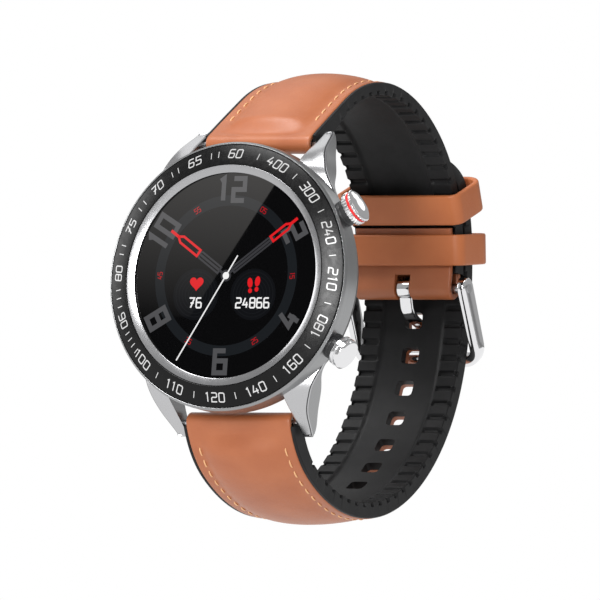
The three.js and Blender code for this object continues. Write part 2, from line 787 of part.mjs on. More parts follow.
// The straight-sided outline round two circles.
function capsule(a, radiusA, b, radiusB) {
  const bearing = Math.atan2(b.z - a.z, b.y - a.y);
  const spread = Math.acos((radiusA - radiusB) / Math.hypot(b.y - a.y, b.z - a.z));
  const shape = new THREE.Shape();
  shape.absarc(a.y, a.z, radiusA, bearing + spread, bearing - spread + 2 * Math.PI, false);
  shape.absarc(b.y, b.z, radiusB, bearing - spread, bearing + spread, false);
  return shape;
}

function buildBuckle() {
  const bar = { y: buckleBarY, z: buckleBarZ };
  const arms = [-1, 1].map((side) => {
    const from = side < 0 ? -ARM_INSIDE - ARM_THICK : ARM_INSIDE;
    const arm = circleHole(capsule(bar, 1.9, CROSSBAR, 1.7), bar.y, bar.z, BUCKLE_BAR_R + 0.1);
    return across(arm, from, from + ARM_THICK);
  });
  const crossbar = rod(-ARM_INSIDE - 0.5, ARM_INSIDE + 0.5, CROSSBAR_R)
    .translate(0, CROSSBAR.y, CROSSBAR.z);
  piece(watch, 'buckle_frame', join(crossbar, ...arms), STEEL_POLISHED);
  const barReach = ARM_INSIDE + ARM_THICK;
  piece(watch, 'buckle_bar', rod(-barReach, barReach, BUCKLE_BAR_R)
    .translate(0, bar.y, bar.z), STEEL_POLISHED);

  const spine = new THREE.SplineCurve([
    [bar.y, bar.z - 1.3],
    [62.7, 3.2],
    [64.4, 2.0],
    [67.5, 1.1],
    [69.4, -0.9],
    [70.4, -3.3],
    [70.5, -4.9],
    [70.3, -6.4],
  ].map(([y, z]) => new THREE.Vector2(y, z)));
  const steps = 18;
  const sides = [-0.5, 0.5].map((side) => Array.from({ length: steps + 1 }, (_, i) => {
    const point = spine.getPoint(i / steps);
    const tangent = spine.getTangent(i / steps);
    return [point.x - side * TONGUE_THICK * tangent.y, point.y + side * TONGUE_THICK * tangent.x];
  }));
  const strip = outline([...sides[0], ...sides[1].reverse()]);
  const curl = tube(-TONGUE_WIDTH / 2, TONGUE_WIDTH / 2, BUCKLE_BAR_R + 0.15, 1.75)
    .translate(0, bar.y, bar.z);
  const room = rod(-3, 3, BUCKLE_BAR_R + 0.15).translate(0, bar.y, bar.z);
  piece(watch, 'buckle_tongue', cut(
    join(curl, across(strip, -TONGUE_WIDTH / 2, TONGUE_WIDTH / 2)),
    room,
  ), STEEL_POLISHED);
}

buildCase();
buildCrown();
buildPusher();
buildSpringBar('upper', 1);
buildSpringBar('lower', -1);
buildUpperStrap();
buildLowerStrap();
piece(watch, 'fixed_keeper', keeperGeometry(FIXED_KEEPER), LEATHER_TAN);
piece(watch, 'free_keeper', keeperGeometry(FREE_KEEPER), LEATHER_TAN);
buildBuckle();

const group = new THREE.Group();
group.add(watch);

export default group;
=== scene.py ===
"""A round smartwatch buckled shut on a padded leather strap with a rubber lining."""

import json
import math

import bmesh
import bpy
import numpy as np
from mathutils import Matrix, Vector


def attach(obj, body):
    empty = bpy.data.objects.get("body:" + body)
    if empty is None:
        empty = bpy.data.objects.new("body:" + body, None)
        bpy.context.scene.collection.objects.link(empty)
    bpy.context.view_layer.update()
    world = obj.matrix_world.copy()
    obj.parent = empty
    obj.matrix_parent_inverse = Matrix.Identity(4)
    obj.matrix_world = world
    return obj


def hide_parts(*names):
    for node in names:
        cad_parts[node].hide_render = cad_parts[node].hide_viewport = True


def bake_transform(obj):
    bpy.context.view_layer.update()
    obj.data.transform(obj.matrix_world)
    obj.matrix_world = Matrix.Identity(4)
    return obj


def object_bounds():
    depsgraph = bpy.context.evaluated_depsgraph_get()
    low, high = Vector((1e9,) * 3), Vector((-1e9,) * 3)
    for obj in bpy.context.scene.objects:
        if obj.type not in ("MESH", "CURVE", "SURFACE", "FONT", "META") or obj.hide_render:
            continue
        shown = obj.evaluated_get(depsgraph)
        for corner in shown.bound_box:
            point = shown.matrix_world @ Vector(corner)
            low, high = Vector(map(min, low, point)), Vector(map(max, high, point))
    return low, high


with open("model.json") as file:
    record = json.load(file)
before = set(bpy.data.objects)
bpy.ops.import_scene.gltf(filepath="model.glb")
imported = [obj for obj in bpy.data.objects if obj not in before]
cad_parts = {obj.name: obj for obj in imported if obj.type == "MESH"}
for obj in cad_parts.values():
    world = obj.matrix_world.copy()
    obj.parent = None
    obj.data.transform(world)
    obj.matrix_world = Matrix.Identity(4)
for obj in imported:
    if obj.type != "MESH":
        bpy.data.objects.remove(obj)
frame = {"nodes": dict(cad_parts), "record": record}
cad_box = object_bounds()

MM = 0.001
LEAN = math.radians(8.1)  # the watch leans back by this much
WRIST_DEPTH = 35.0  # millimetres from the bezel's outer edge to the wrist's centre


# ---- frames and meshes


def to_row(points):
    """Case-frame millimetres to row-frame metres."""
    p = np.asarray(points, float)
    y = p[..., 1] - WRIST_DEPTH
    c, s = math.cos(LEAN), math.sin(LEAN)
    return np.stack([p[..., 0], y * c + p[..., 2] * s, -y * s + p[..., 2] * c], -1) * MM


def direction(vector):
    """A case-frame direction in the row frame."""
    x, y, z = vector
    c, s = math.cos(LEAN), math.sin(LEAN)
    return (x, y * c + z * s, -y * s + z * c)


def mesh_object(name, points, faces, materials, smooth=40, indices=None, fix=True):
    """An object from row-frame points, shaded smooth up to an angle in degrees."""
    mesh = bpy.data.meshes.new(name)
    mesh.from_pydata([tuple(p) for p in np.asarray(points, float)], [], faces)
    for m in materials if isinstance(materials, (list, tuple)) else [materials]:
        mesh.materials.append(m)
    if indices is not None:
        mesh.polygons.foreach_set("material_index", indices)
    if fix:
        b = bmesh.new()
        b.from_mesh(mesh)
        bmesh.ops.remove_doubles(b, verts=b.verts, dist=1e-7)
        bmesh.ops.recalc_face_normals(b, faces=b.faces)
        b.to_mesh(mesh)
        b.free()
    mesh.polygons.foreach_set("use_smooth", [True] * len(mesh.polygons))
    mesh.set_sharp_from_angle(angle=math.radians(smooth))
    mesh.update()
    thing = bpy.data.objects.new(name, mesh)
    bpy.context.scene.collection.objects.link(thing)
    return thing


def ride(thing, body, *replaced, slot=None):
    """The piece moves with a body and stands in for the CAD nodes it replaces."""
    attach(thing, body)
    if replaced:
        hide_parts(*replaced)
    return thing


def grid_faces(rows, columns, close_rows=False, close_columns=True):
    faces = []
    for i in range(rows if close_rows else rows - 1):
        for j in range(columns if close_columns else columns - 1):
            a, b = i * columns + j, i * columns + (j + 1) % columns
            k = ((i + 1) % rows) * columns
            faces.append((a, b, k + (j + 1) % columns, k + j))
    return faces


def tube_mesh(sections, close_path=False):
    """Points and faces of a skin over closed sections of equal size, capped at its ends."""
    sections = np.asarray(sections, float)
    rows, columns = sections.shape[:2]
    faces = grid_faces(rows, columns, close_path)
    if not close_path:
        faces.append(tuple(range(columns))[::-1])
        faces.append(tuple((rows - 1) * columns + j for j in range(columns)))
    return sections.reshape(-1, 3), faces


def skin(name, sections, material, smooth=40, close_path=False):
    """An object with a skin over closed sections of case-frame points."""
    points, faces = tube_mesh(sections, close_path)
    return mesh_object(name, to_row(points), faces, material, smooth)


def joined(shapes):
    """Several (points, faces) shapes as one."""
    points, faces = [], []
    for shape_points, shape_faces in shapes:
        base = len(points)
        points += list(shape_points)
        faces += [tuple(base + v for v in face) for face in shape_faces]
    return points, faces


def turns(count):
    """Angles that divide a full turn evenly."""
    return np.linspace(0, 2 * math.pi, count, endpoint=False)


def soften(points, radius, steps=3, closed=True):
    """Rounds each corner of a polyline."""
    points = [np.array(p, float) for p in points]
    count = len(points)
    out = []
    for i, p in enumerate(points):
        if not closed and i in (0, count - 1):
            out.append(p)
            continue
        a, b = points[i - 1] - p, points[(i + 1) % count] - p
        la, lb = np.linalg.norm(a), np.linalg.norm(b)
        r = min(radius, 0.45 * la, 0.45 * lb)
        start, end = p + a / la * r, p + b / lb * r
        for t in np.linspace(0, 1, steps + 1):
            out.append((1 - t) ** 2 * start + 2 * t * (1 - t) * p + t * t * end)
    return out


def lathe(name, profile, materials, steps=144, round_off=0.06, place=None, smooth=40):
    """A profile of (radius, depth) turned about the watch's depth axis, or placed by a function."""
    closes = profile[0][0] == 0 and profile[-1][0] == 0
    points = soften(profile, round_off, closed=not closes)
    angles = turns(steps)
    sections = np.array([[(r * math.cos(a), y, r * math.sin(a)) for r, y in points] for a in angles])
    faces = grid_faces(steps, len(points), True, not closes)
    flat = sections.reshape(-1, 3)
    flat = to_row(flat) if place is None else place(flat)
    return mesh_object(name, flat, faces, materials, smooth)


def cut_with(thing, *cutters):
    """Cuts the cutters out of the piece and removes them."""
    for cutter in cutters:
        modifier = thing.modifiers.new("cut", "BOOLEAN")
        modifier.operation = "DIFFERENCE"
        modifier.solver = "EXACT"
        modifier.object = cutter
    depsgraph = bpy.context.evaluated_depsgraph_get()
    mesh = bpy.data.meshes.new_from_object(thing.evaluated_get(depsgraph))
    thing.modifiers.clear()
    thing.data = mesh
    mesh.set_sharp_from_angle(angle=math.radians(40))
    for cutter in cutters:
        bpy.data.objects.remove(cutter)
    return thing


# ---- materials


class Look:
    """A node material with its Principled shader and short ways to wire it."""

    def __init__(self, name, color, roughness, metallic=0.0, **values):
        self.material = bpy.data.materials.new(name)
        self.material.use_nodes = True
        self.tree = self.material.node_tree
        self.shader = self.tree.nodes["Principled BSDF"]
        self.set("Base Color", (*color, 1))
        self.set("Roughness", roughness)
        self.set("Metallic", metallic)
        for key, value in values.items():
            self.set(key.replace("_", " "), value)

    def set(self, socket, value):
        self.shader.inputs[socket].default_value = value

    def node(self, kind, **values):
        made = self.tree.nodes.new(kind)
        for key, value in values.items():
            if key in made.inputs:
                made.inputs[key].default_value = value
            else:
                setattr(made, key, value)
        return made

    def link(self, a, b):
        self.tree.links.new(a, b)

    def millimetres(self):
        """Object coordinates in millimetres."""
        coords = self.node("ShaderNodeTexCoord")
        mapping = self.node("ShaderNodeMapping")
        mapping.inputs["Scale"].default_value = [1 / MM] * 3
        self.link(coords.outputs["Object"], mapping.inputs["Vector"])
        return mapping.outputs["Vector"]

    def noise(self, scale, detail=3.0, rough=0.5, at=None):
        made = self.node("ShaderNodeTexNoise", Scale=scale, Detail=detail, Roughness=rough)
        self.link(at or self.millimetres(), made.inputs["Vector"])
        return made.outputs["Fac"]

    def spread(self, value, low, high, to_low, to_high):
        made = self.node("ShaderNodeMapRange")
        for key, v in zip(("From Min", "From Max", "To Min", "To Max"), (low, high, to_low, to_high)):
            made.inputs[key].default_value = v
        self.link(value, made.inputs["Value"])
        return made.outputs["Result"]

    def mix(self, value, first, second):
        made = self.node("ShaderNodeMix", data_type="RGBA")
        made.inputs["A"].default_value = (*first, 1)
        made.inputs["B"].default_value = (*second, 1)
        self.link(value, made.inputs["Factor"])
        return made.outputs["Result"]

    def bump(self, value, strength, depth_mm, under=None):
        made = self.node("ShaderNodeBump", Strength=strength, Distance=depth_mm * MM)
        self.link(value, made.inputs["Height"])
        if under is not None:
            self.link(under, made.inputs["Normal"])
        return made.outputs["Normal"]

    def to(self, socket, value):
        self.link(value, self.shader.inputs[socket])

    def along_depth(self, fine):
        """Coordinates that change only with depth, so that brushing runs round the case."""
        coords = self.node("ShaderNodeTexCoord")
        dot = self.node("ShaderNodeVectorMath", operation="DOT_PRODUCT")
        dot.inputs[1].default_value = [fine / MM * v for v in direction((0, 1, 0))]
        self.link(coords.outputs["Object"], dot.inputs[0])
        joined = self.node("ShaderNodeCombineXYZ")
        self.link(dot.outputs["Value"], joined.inputs["X"])
        return joined.outputs["Vector"]


def leather_look(name, light, dark, gloss):
    look = Look(name, light, gloss)
    look.set("Specular IOR Level", 0.5)
    clouds = look.noise(0.16, 4)
    look.to("Base Color", look.mix(look.spread(clouds, 0.3, 0.7, 0, 1), light, dark))
    pores = look.noise(5.5, 2, 0.6)
    wrinkles = look.noise(0.9, 3, 0.6)
    look.to("Roughness", look.spread(pores, 0.3, 0.7, gloss - 0.05, gloss + 0.09))
    first = look.bump(wrinkles, 0.12, 0.25)
    look.to("Normal", look.bump(pores, 0.22, 0.05, first))
    return look.material


def rubber_look(name, color, rough):
    look = Look(name, color, rough)
    look.set("Specular IOR Level", 0.16)
    grain = look.noise(9, 2)
    tone = look.noise(0.3, 3)
    lighter = tuple(1.35 * c for c in color)
    look.to("Base Color", look.mix(look.spread(tone, 0.35, 0.65, 0, 1), color, lighter))
    look.to("Roughness", look.spread(grain, 0.3, 0.7, rough - 0.06, rough + 0.08))
    look.to("Normal", look.bump(grain, 0.2, 0.03))
    return look.material


def brushed_look(name, color, rough):
    look = Look(name, color, rough, 1.0)
    lines = look.noise(1.0, 4, 0.7, look.along_depth(26))
    look.to("Roughness", look.spread(lines, 0.3, 0.7, rough - 0.07, rough + 0.1))
    lighter = tuple(min(1, 1.15 * c) for c in color)
    look.to("Base Color", look.mix(look.spread(lines, 0.35, 0.65, 0, 1), color, lighter))
    look.to("Normal", look.bump(lines, 0.06, 0.02))
    return look.material


def polished_look(name, color, rough):
    look = Look(name, color, rough, 1.0)
    haze = look.noise(0.6, 4)
    look.to("Roughness", look.spread(haze, 0.3, 0.7, rough * 0.94, rough * 1.08))
    return look.material


def coated_look(name, color, rough, level=0.5, metallic=0.0, grain=0.03):
    look = Look(name, color, rough, metallic)
    look.set("Specular IOR Level", level)
    haze = look.noise(1.1, 3)
    look.to("Roughness", look.spread(haze, 0.3, 0.7, rough * 0.85, rough * 1.2))
    if grain:
        look.to("Normal", look.bump(look.noise(12, 2), grain, 0.01))
    return look.material


def lit_look(name, color, strength=1.0, level=0.5):
    """An emissive surface: a lit part of the display, seen through the same smooth glass as the rest of it.
    The bezel's white paint uses it too, so that paint glows as painted light.
    """
    look = Look(name, (0.0, 0.0, 0.0), 0.004)
    look.set("Specular IOR Level", level)
    pixels = look.noise(7, 1)
    low = tuple(0.92 * c for c in color)
    look.to("Emission Color", look.mix(look.spread(pixels, 0.3, 0.7, 0, 1), color, low))
    look.set("Emission Strength", strength)
    return look.material


TAN = leather_look("tan_leather", (0.40, 0.126, 0.048), (0.345, 0.10, 0.036), 0.41)
KEEPER_TAN = leather_look("keeper_leather", (0.46, 0.135, 0.040), (0.41, 0.112, 0.031), 0.48)
THREAD = leather_look("stitch_thread", (0.78, 0.45, 0.22), (0.70, 0.36, 0.17), 0.6)
RUBBER = rubber_look("black_rubber", (0.011, 0.011, 0.0115), 0.48)
BRUSHED = brushed_look("brushed_steel", (0.30, 0.303, 0.307), 0.3)
POLISHED = polished_look("polished_steel", (0.80, 0.80, 0.81), 0.06)
SATIN = polished_look("satin_steel", (0.52, 0.52, 0.53), 0.26)
BEZEL = coated_look("bezel_black", (0.002, 0.002, 0.0022), 0.26, 0.22, grain=0)
PLASTIC = coated_look("black_plastic", (0.016, 0.016, 0.017), 0.38)
GLASS = coated_look("display_glass", (0.002, 0.002, 0.0022), 0.004, 0.5, grain=0)
RED = coated_look("red_ring", (0.75, 0.02, 0.02), 0.3)
# Painted shade: a dark strip on the steel lug's rounded edge, where the mesh has no groove.
EDGE_SHADE = coated_look("painted_edge_shade", (0.02, 0.02, 0.022), 0.4)
RING = polished_look("ring_steel", (0.44, 0.44, 0.45), 0.2)
GOLD = polished_look("gold_contact", (0.85, 0.62, 0.25), 0.18)
BOARD = coated_look("board_green", (0.02, 0.12, 0.05), 0.45)
CELL = brushed_look("cell_wrap", (0.35, 0.36, 0.38), 0.45)
SENSOR = coated_look("sensor_glass", (0.01, 0.008, 0.012), 0.06, 0.8, grain=0)
# The bezel's white paint is emissive: painted light, glowing though it is no lamp.
GLOWING_PAINT = lit_look("glowing_white_paint", (0.86, 0.86, 0.86), 0.95, 0.3)
SWITCH_BLACK = coated_look("switch_black", (0.02, 0.02, 0.02), 0.5)


# ---- camera, floor and light

AZIMUTH = math.radians(29.5)
CAMERA_DISTANCE = 3.5
VIEW_WIDTH = 0.102  # metres across the picture at the watch
SENSOR_WIDTH = 36.0
AIM = Vector((0.0, -0.00967, 0.00087))
FLOOR_DROP = 0.004  # metres below the strap, which dips a little when it is bent
FLOOR_Z = float(cad_box[0].z) - FLOOR_DROP

camera = bpy.data.objects.new("camera", bpy.data.cameras.new("camera"))
bpy.context.scene.collection.objects.link(camera)
bpy.context.scene.camera = camera
camera.data.sensor_width = SENSOR_WIDTH
camera.data.lens = CAMERA_DISTANCE * SENSOR_WIDTH / VIEW_WIDTH
camera.data.clip_start = 0.1
camera.data.clip_end = 60
towards = Vector((math.sin(AZIMUTH), -math.cos(AZIMUTH), 0.0))
camera.location = AIM + towards * CAMERA_DISTANCE
camera.rotation_mode = "QUATERNION"
camera.rotation_quaternion = (-towards).to_track_quat("-Z", "Y")

bpy.context.scene.view_settings.view_transform = "Standard"

world = bpy.data.worlds.new("studio")
bpy.context.scene.world = world
world.use_nodes = True
world.node_tree.nodes["Background"].inputs["Color"].default_value = (1, 1, 1, 1)
world.node_tree.nodes["Background"].inputs["Strength"].default_value = 0.40


def matt_look(name, color, level=0.0, roughness=0.9):
    look = Look(name, color, roughness)
    look.set("Specular IOR Level", level)
    return look


BLACK = (0.003, 0.003, 0.003)
SHEET_STEP = 0.001  # metres between one floor sheet and the next
GROUND_RADIUS, NEAR_RADIUS = 30.0, 0.7
SWEEP_FRONT, SWEEP_BACK, SWEEP_TOP = 2.2, 12.0, 1.5  # metres from the watch
SWEEP_NARROW, SWEEP_WIDE = 0.14, 0.7
pale_floor = matt_look("pale_floor", (0.4, 0.4, 0.4), 0.1, 0.7)
white_backdrop = matt_look("white_backdrop", (0.0, 0.0, 0.0))
white_backdrop.set("Emission Color", (1, 1, 1, 1))
white_backdrop.set("Emission Strength", 1.0)


def stage_sheet(name, points, look):
    """A flat sheet that belongs to the scene and not to the watch."""
    mesh_object(name, points, [tuple(range(len(points)))], look.material, fix=False)


def disc(name, radius, z, look, corners=64):
    angles = turns(corners)
    stage_sheet(name, [(radius * math.cos(a), radius * math.sin(a), z) for a in angles], look)


def sweep(name, corners):
    """A lit white sheet, given by (towards the camera, sideways, height) corners."""
    side = Vector((math.cos(AZIMUTH), math.sin(AZIMUTH), 0.0))
    stage_sheet(name, [towards * a + side * b + Vector((0, 0, c)) for a, b, c in corners], white_backdrop)


def floor_strip(name, near, far, half):
    z = FLOOR_Z - SHEET_STEP
    sweep(name, [(near, -half, z), (near, half, z), (far, half, z), (far, -half, z)])


disc("floor", GROUND_RADIUS, FLOOR_Z - 2 * SHEET_STEP, pale_floor)
disc("near_floor", NEAR_RADIUS, FLOOR_Z, white_backdrop)
floor_strip("front_floor", SWEEP_FRONT, 0, SWEEP_NARROW)
floor_strip("back_floor", 0, -SWEEP_BACK, SWEEP_WIDE)
sweep("backdrop", [
    (-SWEEP_BACK, side, z)
    for side, z in ((-SWEEP_WIDE, FLOOR_Z - 10 * SHEET_STEP), (SWEEP_WIDE, FLOOR_Z - 10 * SHEET_STEP),
                    (SWEEP_WIDE, SWEEP_TOP), (-SWEEP_WIDE, SWEEP_TOP))
])

LAMP_DISTANCE = 2.2  # metres from the watch
LAMPS = [  # name, azimuth and elevation in degrees, width and height in metres, watts
    ("left", -78, 16, 0.8, 1.1, 10),
    ("front", 10, 14, 0.40, 1.1, 36),
    ("right", 118, 30, 0.4, 1.0, 2),
    ("behind", 172, 26, 0.5, 0.6, 1.0),
    ("over_left", -135, 46, 0.9, 0.9, 2.2),
    ("top", -30, 66, 1.2, 1.1, 42),
]


def softbox(name, azimuth, elevation, width, height, power):
    """A rectangular lamp that faces the watch."""
    lamp = bpy.data.lights.new(name, "AREA")
    lamp.shape = "RECTANGLE"
    lamp.size, lamp.size_y = width, height
    lamp.energy = power
    thing = bpy.data.objects.new(name, lamp)
    bpy.context.scene.collection.objects.link(thing)
    a, e = math.radians(azimuth), math.radians(elevation)
    outwards = Vector((math.sin(a) * math.cos(e), -math.cos(a) * math.cos(e), math.sin(e)))
    thing.location = outwards * LAMP_DISTANCE
    thing.rotation_mode = "QUATERNION"
    thing.rotation_quaternion = (-thing.location).to_track_quat("-Z", "Y")


for lamp_values in LAMPS:
    softbox(*lamp_values)

GLASS_FACE = -0.4  # depth of the glass's front face
DARK_PANEL_AT, LIGHT_PANEL_AT = 4.6, 4.5  # metres from the glass
DARK_OUTLINE = [(-60, -60), (60, -60), (60, 50), (-60, 50)]
LIGHT_OUTLINE = [(-24, 24), (10.7, 24), (8.2, 15.5), (-0.9, 1.5), (-6.5, -7.0), (-24, -7.0)]


def mirrored(point, distance):
    """Where a ray from the camera that meets the glass at a case-frame point goes on to."""
    here = Vector(to_row(point))
    ray = (here - camera.location).normalized()
    normal = Vector(direction((0, -1, 0)))
    return here + (ray - 2 * ray.dot(normal) * normal) * distance


def glass_panel(name, outline, distance, look):
    """A panel whose image in the flat glass has the given case-frame outline."""
    stage_sheet(name, [mirrored((x, GLASS_FACE, z), distance) for x, z in outline], look)


glass_panel("dark_panel", DARK_OUTLINE, DARK_PANEL_AT, matt_look("panel_dark", BLACK))
panel_light = matt_look("panel_light", BLACK)
panel_light.set("Emission Color", (1.0, 0.97, 0.94, 1))
panel_coords = panel_light.node("ShaderNodeTexCoord")
panel_height = panel_light.node("ShaderNodeSeparateXYZ")
panel_light.link(panel_coords.outputs["Generated"], panel_height.inputs["Vector"])
panel_light.to("Emission Strength", panel_light.spread(panel_height.outputs["Z"], 0.0, 0.8, 0.0, 1.5))
glass_panel("light_panel", LIGHT_OUTLINE, LIGHT_PANEL_AT, panel_light)


# ---- strap lines


class ArcLine:
    """Tangent arcs in the (depth, height) plane, run clockwise, so that left is outside."""

    def __init__(self, start, heading, arcs):
        self.pieces, here, begin = [], (*start, math.radians(heading)), 0.0
        for length, turn in arcs:
            radius = length / math.radians(turn)
            self.pieces.append((begin, length, radius, *here))
            here = self.along(self.pieces[-1], length)
            begin += length
        self.length = begin

    @staticmethod
    def along(piece, distance):
        _, _, radius, y, z, heading = piece
        turned = heading + distance / radius
        return (
            y + radius * (math.sin(turned) - math.sin(heading)),
            z - radius * (math.cos(turned) - math.cos(heading)),
            turned,
        )

    def at(self, distance):
        piece = self.pieces[0]
        for following in self.pieces:
            if following[0] <= distance:
                piece = following
        return self.along(piece, distance - piece[0])

    def out(self, distance, height):
        """The (depth, height) point that stands above the line, and its heading."""
        y, z, heading = self.at(distance)
        return y - height * math.sin(heading), z + height * math.cos(heading), heading


def ease(value, low, high):
    t = min(1.0, max(0.0, (value - low) / (high - low)))
    return t * t * (3 - 2 * t)


BAR_Y, BAR_Z = 8.6, 23.8
NOSE_R, FOLD_R = 1.7, 1.9
STRAP_THICK, FOLD_THICK, TAIL_THICK, STRAP_GAP = 2.3, 3.6, 2.8, 0.35
LEATHER_THICK, LEATHER_EDGE = 0.95, 0.35
LINING_HALF, LEATHER_HALF, TAPER = 10.7, 10.1, 0.00136
NOSE_REACH = 14.0  # the strap thickens towards the lug nose over this length
FOLD_TIP, FOLD_FULL, FOLD_REACH = 2.0, 10.7, 18.4  # from the buckle: how the fold thins out
UPPER_HEADING = 36.9
UPPER_ARCS = [(13.2, -1), (17.9, -38.9), (18.6, -33.4), (29, -58.3)]
UPPER_FLEX_AT = 27.0
TAIL_TIP_ANGLE, TAIL_SHARED_ANGLE = 41.0, 30.7
TAIL_ARCS = [(18.5, -16.3), (40.1, -61.9), (30.8, -51.2), (11.3, -36.5)]
TAIL_FLEX_AT = 90.0
FLEX_REACH = 7.0  # bend() finds points this far to each side of a strap half's flex line, but bends nothing over it
HOLE_COUNT, HOLE_PITCH, HOLE_FIRST_AT = 7, 6.4, 30.0

head = math.radians(UPPER_HEADING)
upper = ArcLine(
    (BAR_Y - NOSE_R * math.sin(head), BAR_Z + NOSE_R * math.cos(head)), UPPER_HEADING, UPPER_ARCS
)
wrap_radius = abs(upper.pieces[-1][2])
end_y, end_z, end_heading = upper.at(upper.length)
wrap_y = end_y + wrap_radius * math.sin(end_heading)
wrap_z = end_z - wrap_radius * math.cos(end_heading)
tail_radius = wrap_radius + STRAP_GAP + TAIL_THICK
tip = math.radians(TAIL_TIP_ANGLE)
tail = ArcLine(
    (wrap_y + tail_radius * math.cos(tip), wrap_z + tail_radius * math.sin(tip)),
    TAIL_TIP_ANGLE - 90,
    [(tail_radius * math.radians(TAIL_SHARED_ANGLE), -TAIL_SHARED_ANGLE), *TAIL_ARCS],
)
buckle_y, buckle_z, _ = upper.out(upper.length, -FOLD_R)
fold_from = upper.length - wrap_radius * math.radians(23)  # where the leather folded inside ends


def upper_depth(distance):
    left = upper.length - distance
    return (
        STRAP_THICK
        + (2 * NOSE_R - STRAP_THICK) * (1 - ease(distance, 0, NOSE_REACH))
        + (FOLD_THICK - STRAP_THICK) * (1 - ease(left, FOLD_FULL, FOLD_REACH))
        + (2 * FOLD_R - FOLD_THICK) * (1 - ease(left, FOLD_TIP, FOLD_FULL))
    )


def tail_depth(distance):
    return TAIL_THICK + (2 * NOSE_R - TAIL_THICK) * ease(distance, tail.length - NOSE_REACH, tail.length)


def half_width(y, half):
    return half * (1 - TAPER * (y - BAR_Y))


# A strap piece is drawn over stations (y, z, heading), each with a ring of (sideways, height) points.
def nose_stations(y, z, radius, start, end, steps=14):
    """Stations round a bar: bearings in degrees, run clockwise."""
    for k in range(steps + 1):
        bearing = math.radians(start + (end - start) * k / steps)
        yield (y + radius * math.cos(bearing), z + radius * math.sin(bearing), bearing - math.pi / 2)


def across_strap(ring, y, z, heading):
    """A ring of (sideways, height) points, stood across the strap at a station."""
    s, c = math.sin(heading), math.cos(heading)
    return [(x, y - h * s, z + h * c) for x, h in ring]


def rounded_edge(centre, bearings):
    """The rounded upper and lower corners of a leather edge, by their bearings in degrees."""
    points = []
    for bearing in bearings:
        a = math.radians(bearing)
        base = -LEATHER_EDGE if bearing >= 0 else LEATHER_EDGE - LEATHER_THICK
        points.append((centre + LEATHER_EDGE * math.cos(a), base + LEATHER_EDGE * math.sin(a)))
    return points


def leather_band(stations, first):
    """Sections of leather whose outer face runs through (y, z, heading, distance) stations.

    The distance is counted from the lug nose, and the leather is padded where it is above 0.
    """
    sections = []
    for y, z, heading, distance in stations:
        w = half_width(y, LEATHER_HALF)
        flat = w - LEATHER_EDGE
        ring = []
        for x in np.linspace(-flat, flat, 28):
            ring.append((x, padded_height(distance, first, x / w, w) if distance > 0 else 0.0))
        ring += rounded_edge(flat, (60, 30, 0, -30, -60))
        ring += [(x, -LEATHER_THICK) for x in np.linspace(flat, -flat, 14)]
        ring += rounded_edge(-flat, (-120, -150, 180, 150, 120))
        sections.append(across_strap(ring, y, z, heading))
    return sections

PAD_HEIGHT = 1.6  # how far the padded middle stands above the stitched margins
MARGIN = 2.4  # millimetres from the leather's edge to where the padding starts


def padded_height(distance, first, share, w):
    """The padding's height, rolled off by the lugs and fading along the strap."""
    inside = abs(share) * w / (w - MARGIN)
    start = first + 0.5 * min(inside, 1.15) ** 2
    fold = -0.16 * math.exp(-(((distance - start) / 0.7) ** 2)) * max(0.0, 1 - share**4)
    rise = ease(distance, start, start + 3.6) * (1 - ease(distance, 18, 52))
    crown = PAD_HEIGHT * rise * (1 - inside**2) ** 0.7 if inside < 1 else 0.0
    return crown + fold * (1 - ease(inside, 0.9, 1.1))


def strap_leather():
    """From the inner side of the lug nose, round the bar, out to the buckle and back inside."""
    nose = nose_stations(BAR_Y, BAR_Z, NOSE_R, UPPER_HEADING + 270, UPPER_HEADING + 90)
    top = math.degrees(end_heading) + 90
    fold = list(nose_stations(buckle_y, buckle_z, FOLD_R, top, top - 180, 18))[1:]
    stations = [(*station, 0.0) for station in nose]
    stations += [(*upper.at(d), d) for d in np.linspace(0.5, upper.length, 150)]
    stations += [(*station, 0.0) for station in fold]
    for d in np.linspace(upper.length - 0.6, fold_from, 26):
        y, z, heading = upper.out(d, -upper_depth(d))
        stations.append((y, z, heading + math.pi, 0.0))
    return skin("upper_leather", leather_band(stations, 0.6), TAN)


def box_shape(y, z, heading, width, length, depth, corner):
    """Points and faces of a box that stands square to the strap, rounded in its plan."""
    w, l = width / 2, length / 2
    plan = soften([(-w, -l), (w, -l), (w, l), (-w, l)], corner, 4)
    c, s = math.cos(heading), math.sin(heading)
    return tube_mesh([
        [(u, y + v * c - h * s, z + v * s + h * c) for u, v in plan] for h in (-depth / 2, depth / 2)
    ])


def cutter(shapes):
    points, faces = joined(shapes)
    return mesh_object("cutter", to_row(points), faces, RUBBER)


TREAD_PITCH, TREAD_GROOVE, TREAD_HEIGHT = 3.05, 0.62, 0.42
TREAD_WALL = 0.09  # the share of the pitch that a block's sloping side takes
NOTCH_DEPTH = 0.45  # how far the grooves cut into the strap's edge
CHANNEL_DEPTH = 0.35
LIP_DROP = 0.14  # the rubber's lip stands this far below the leather's edge line
LINING_STEP = 0.22


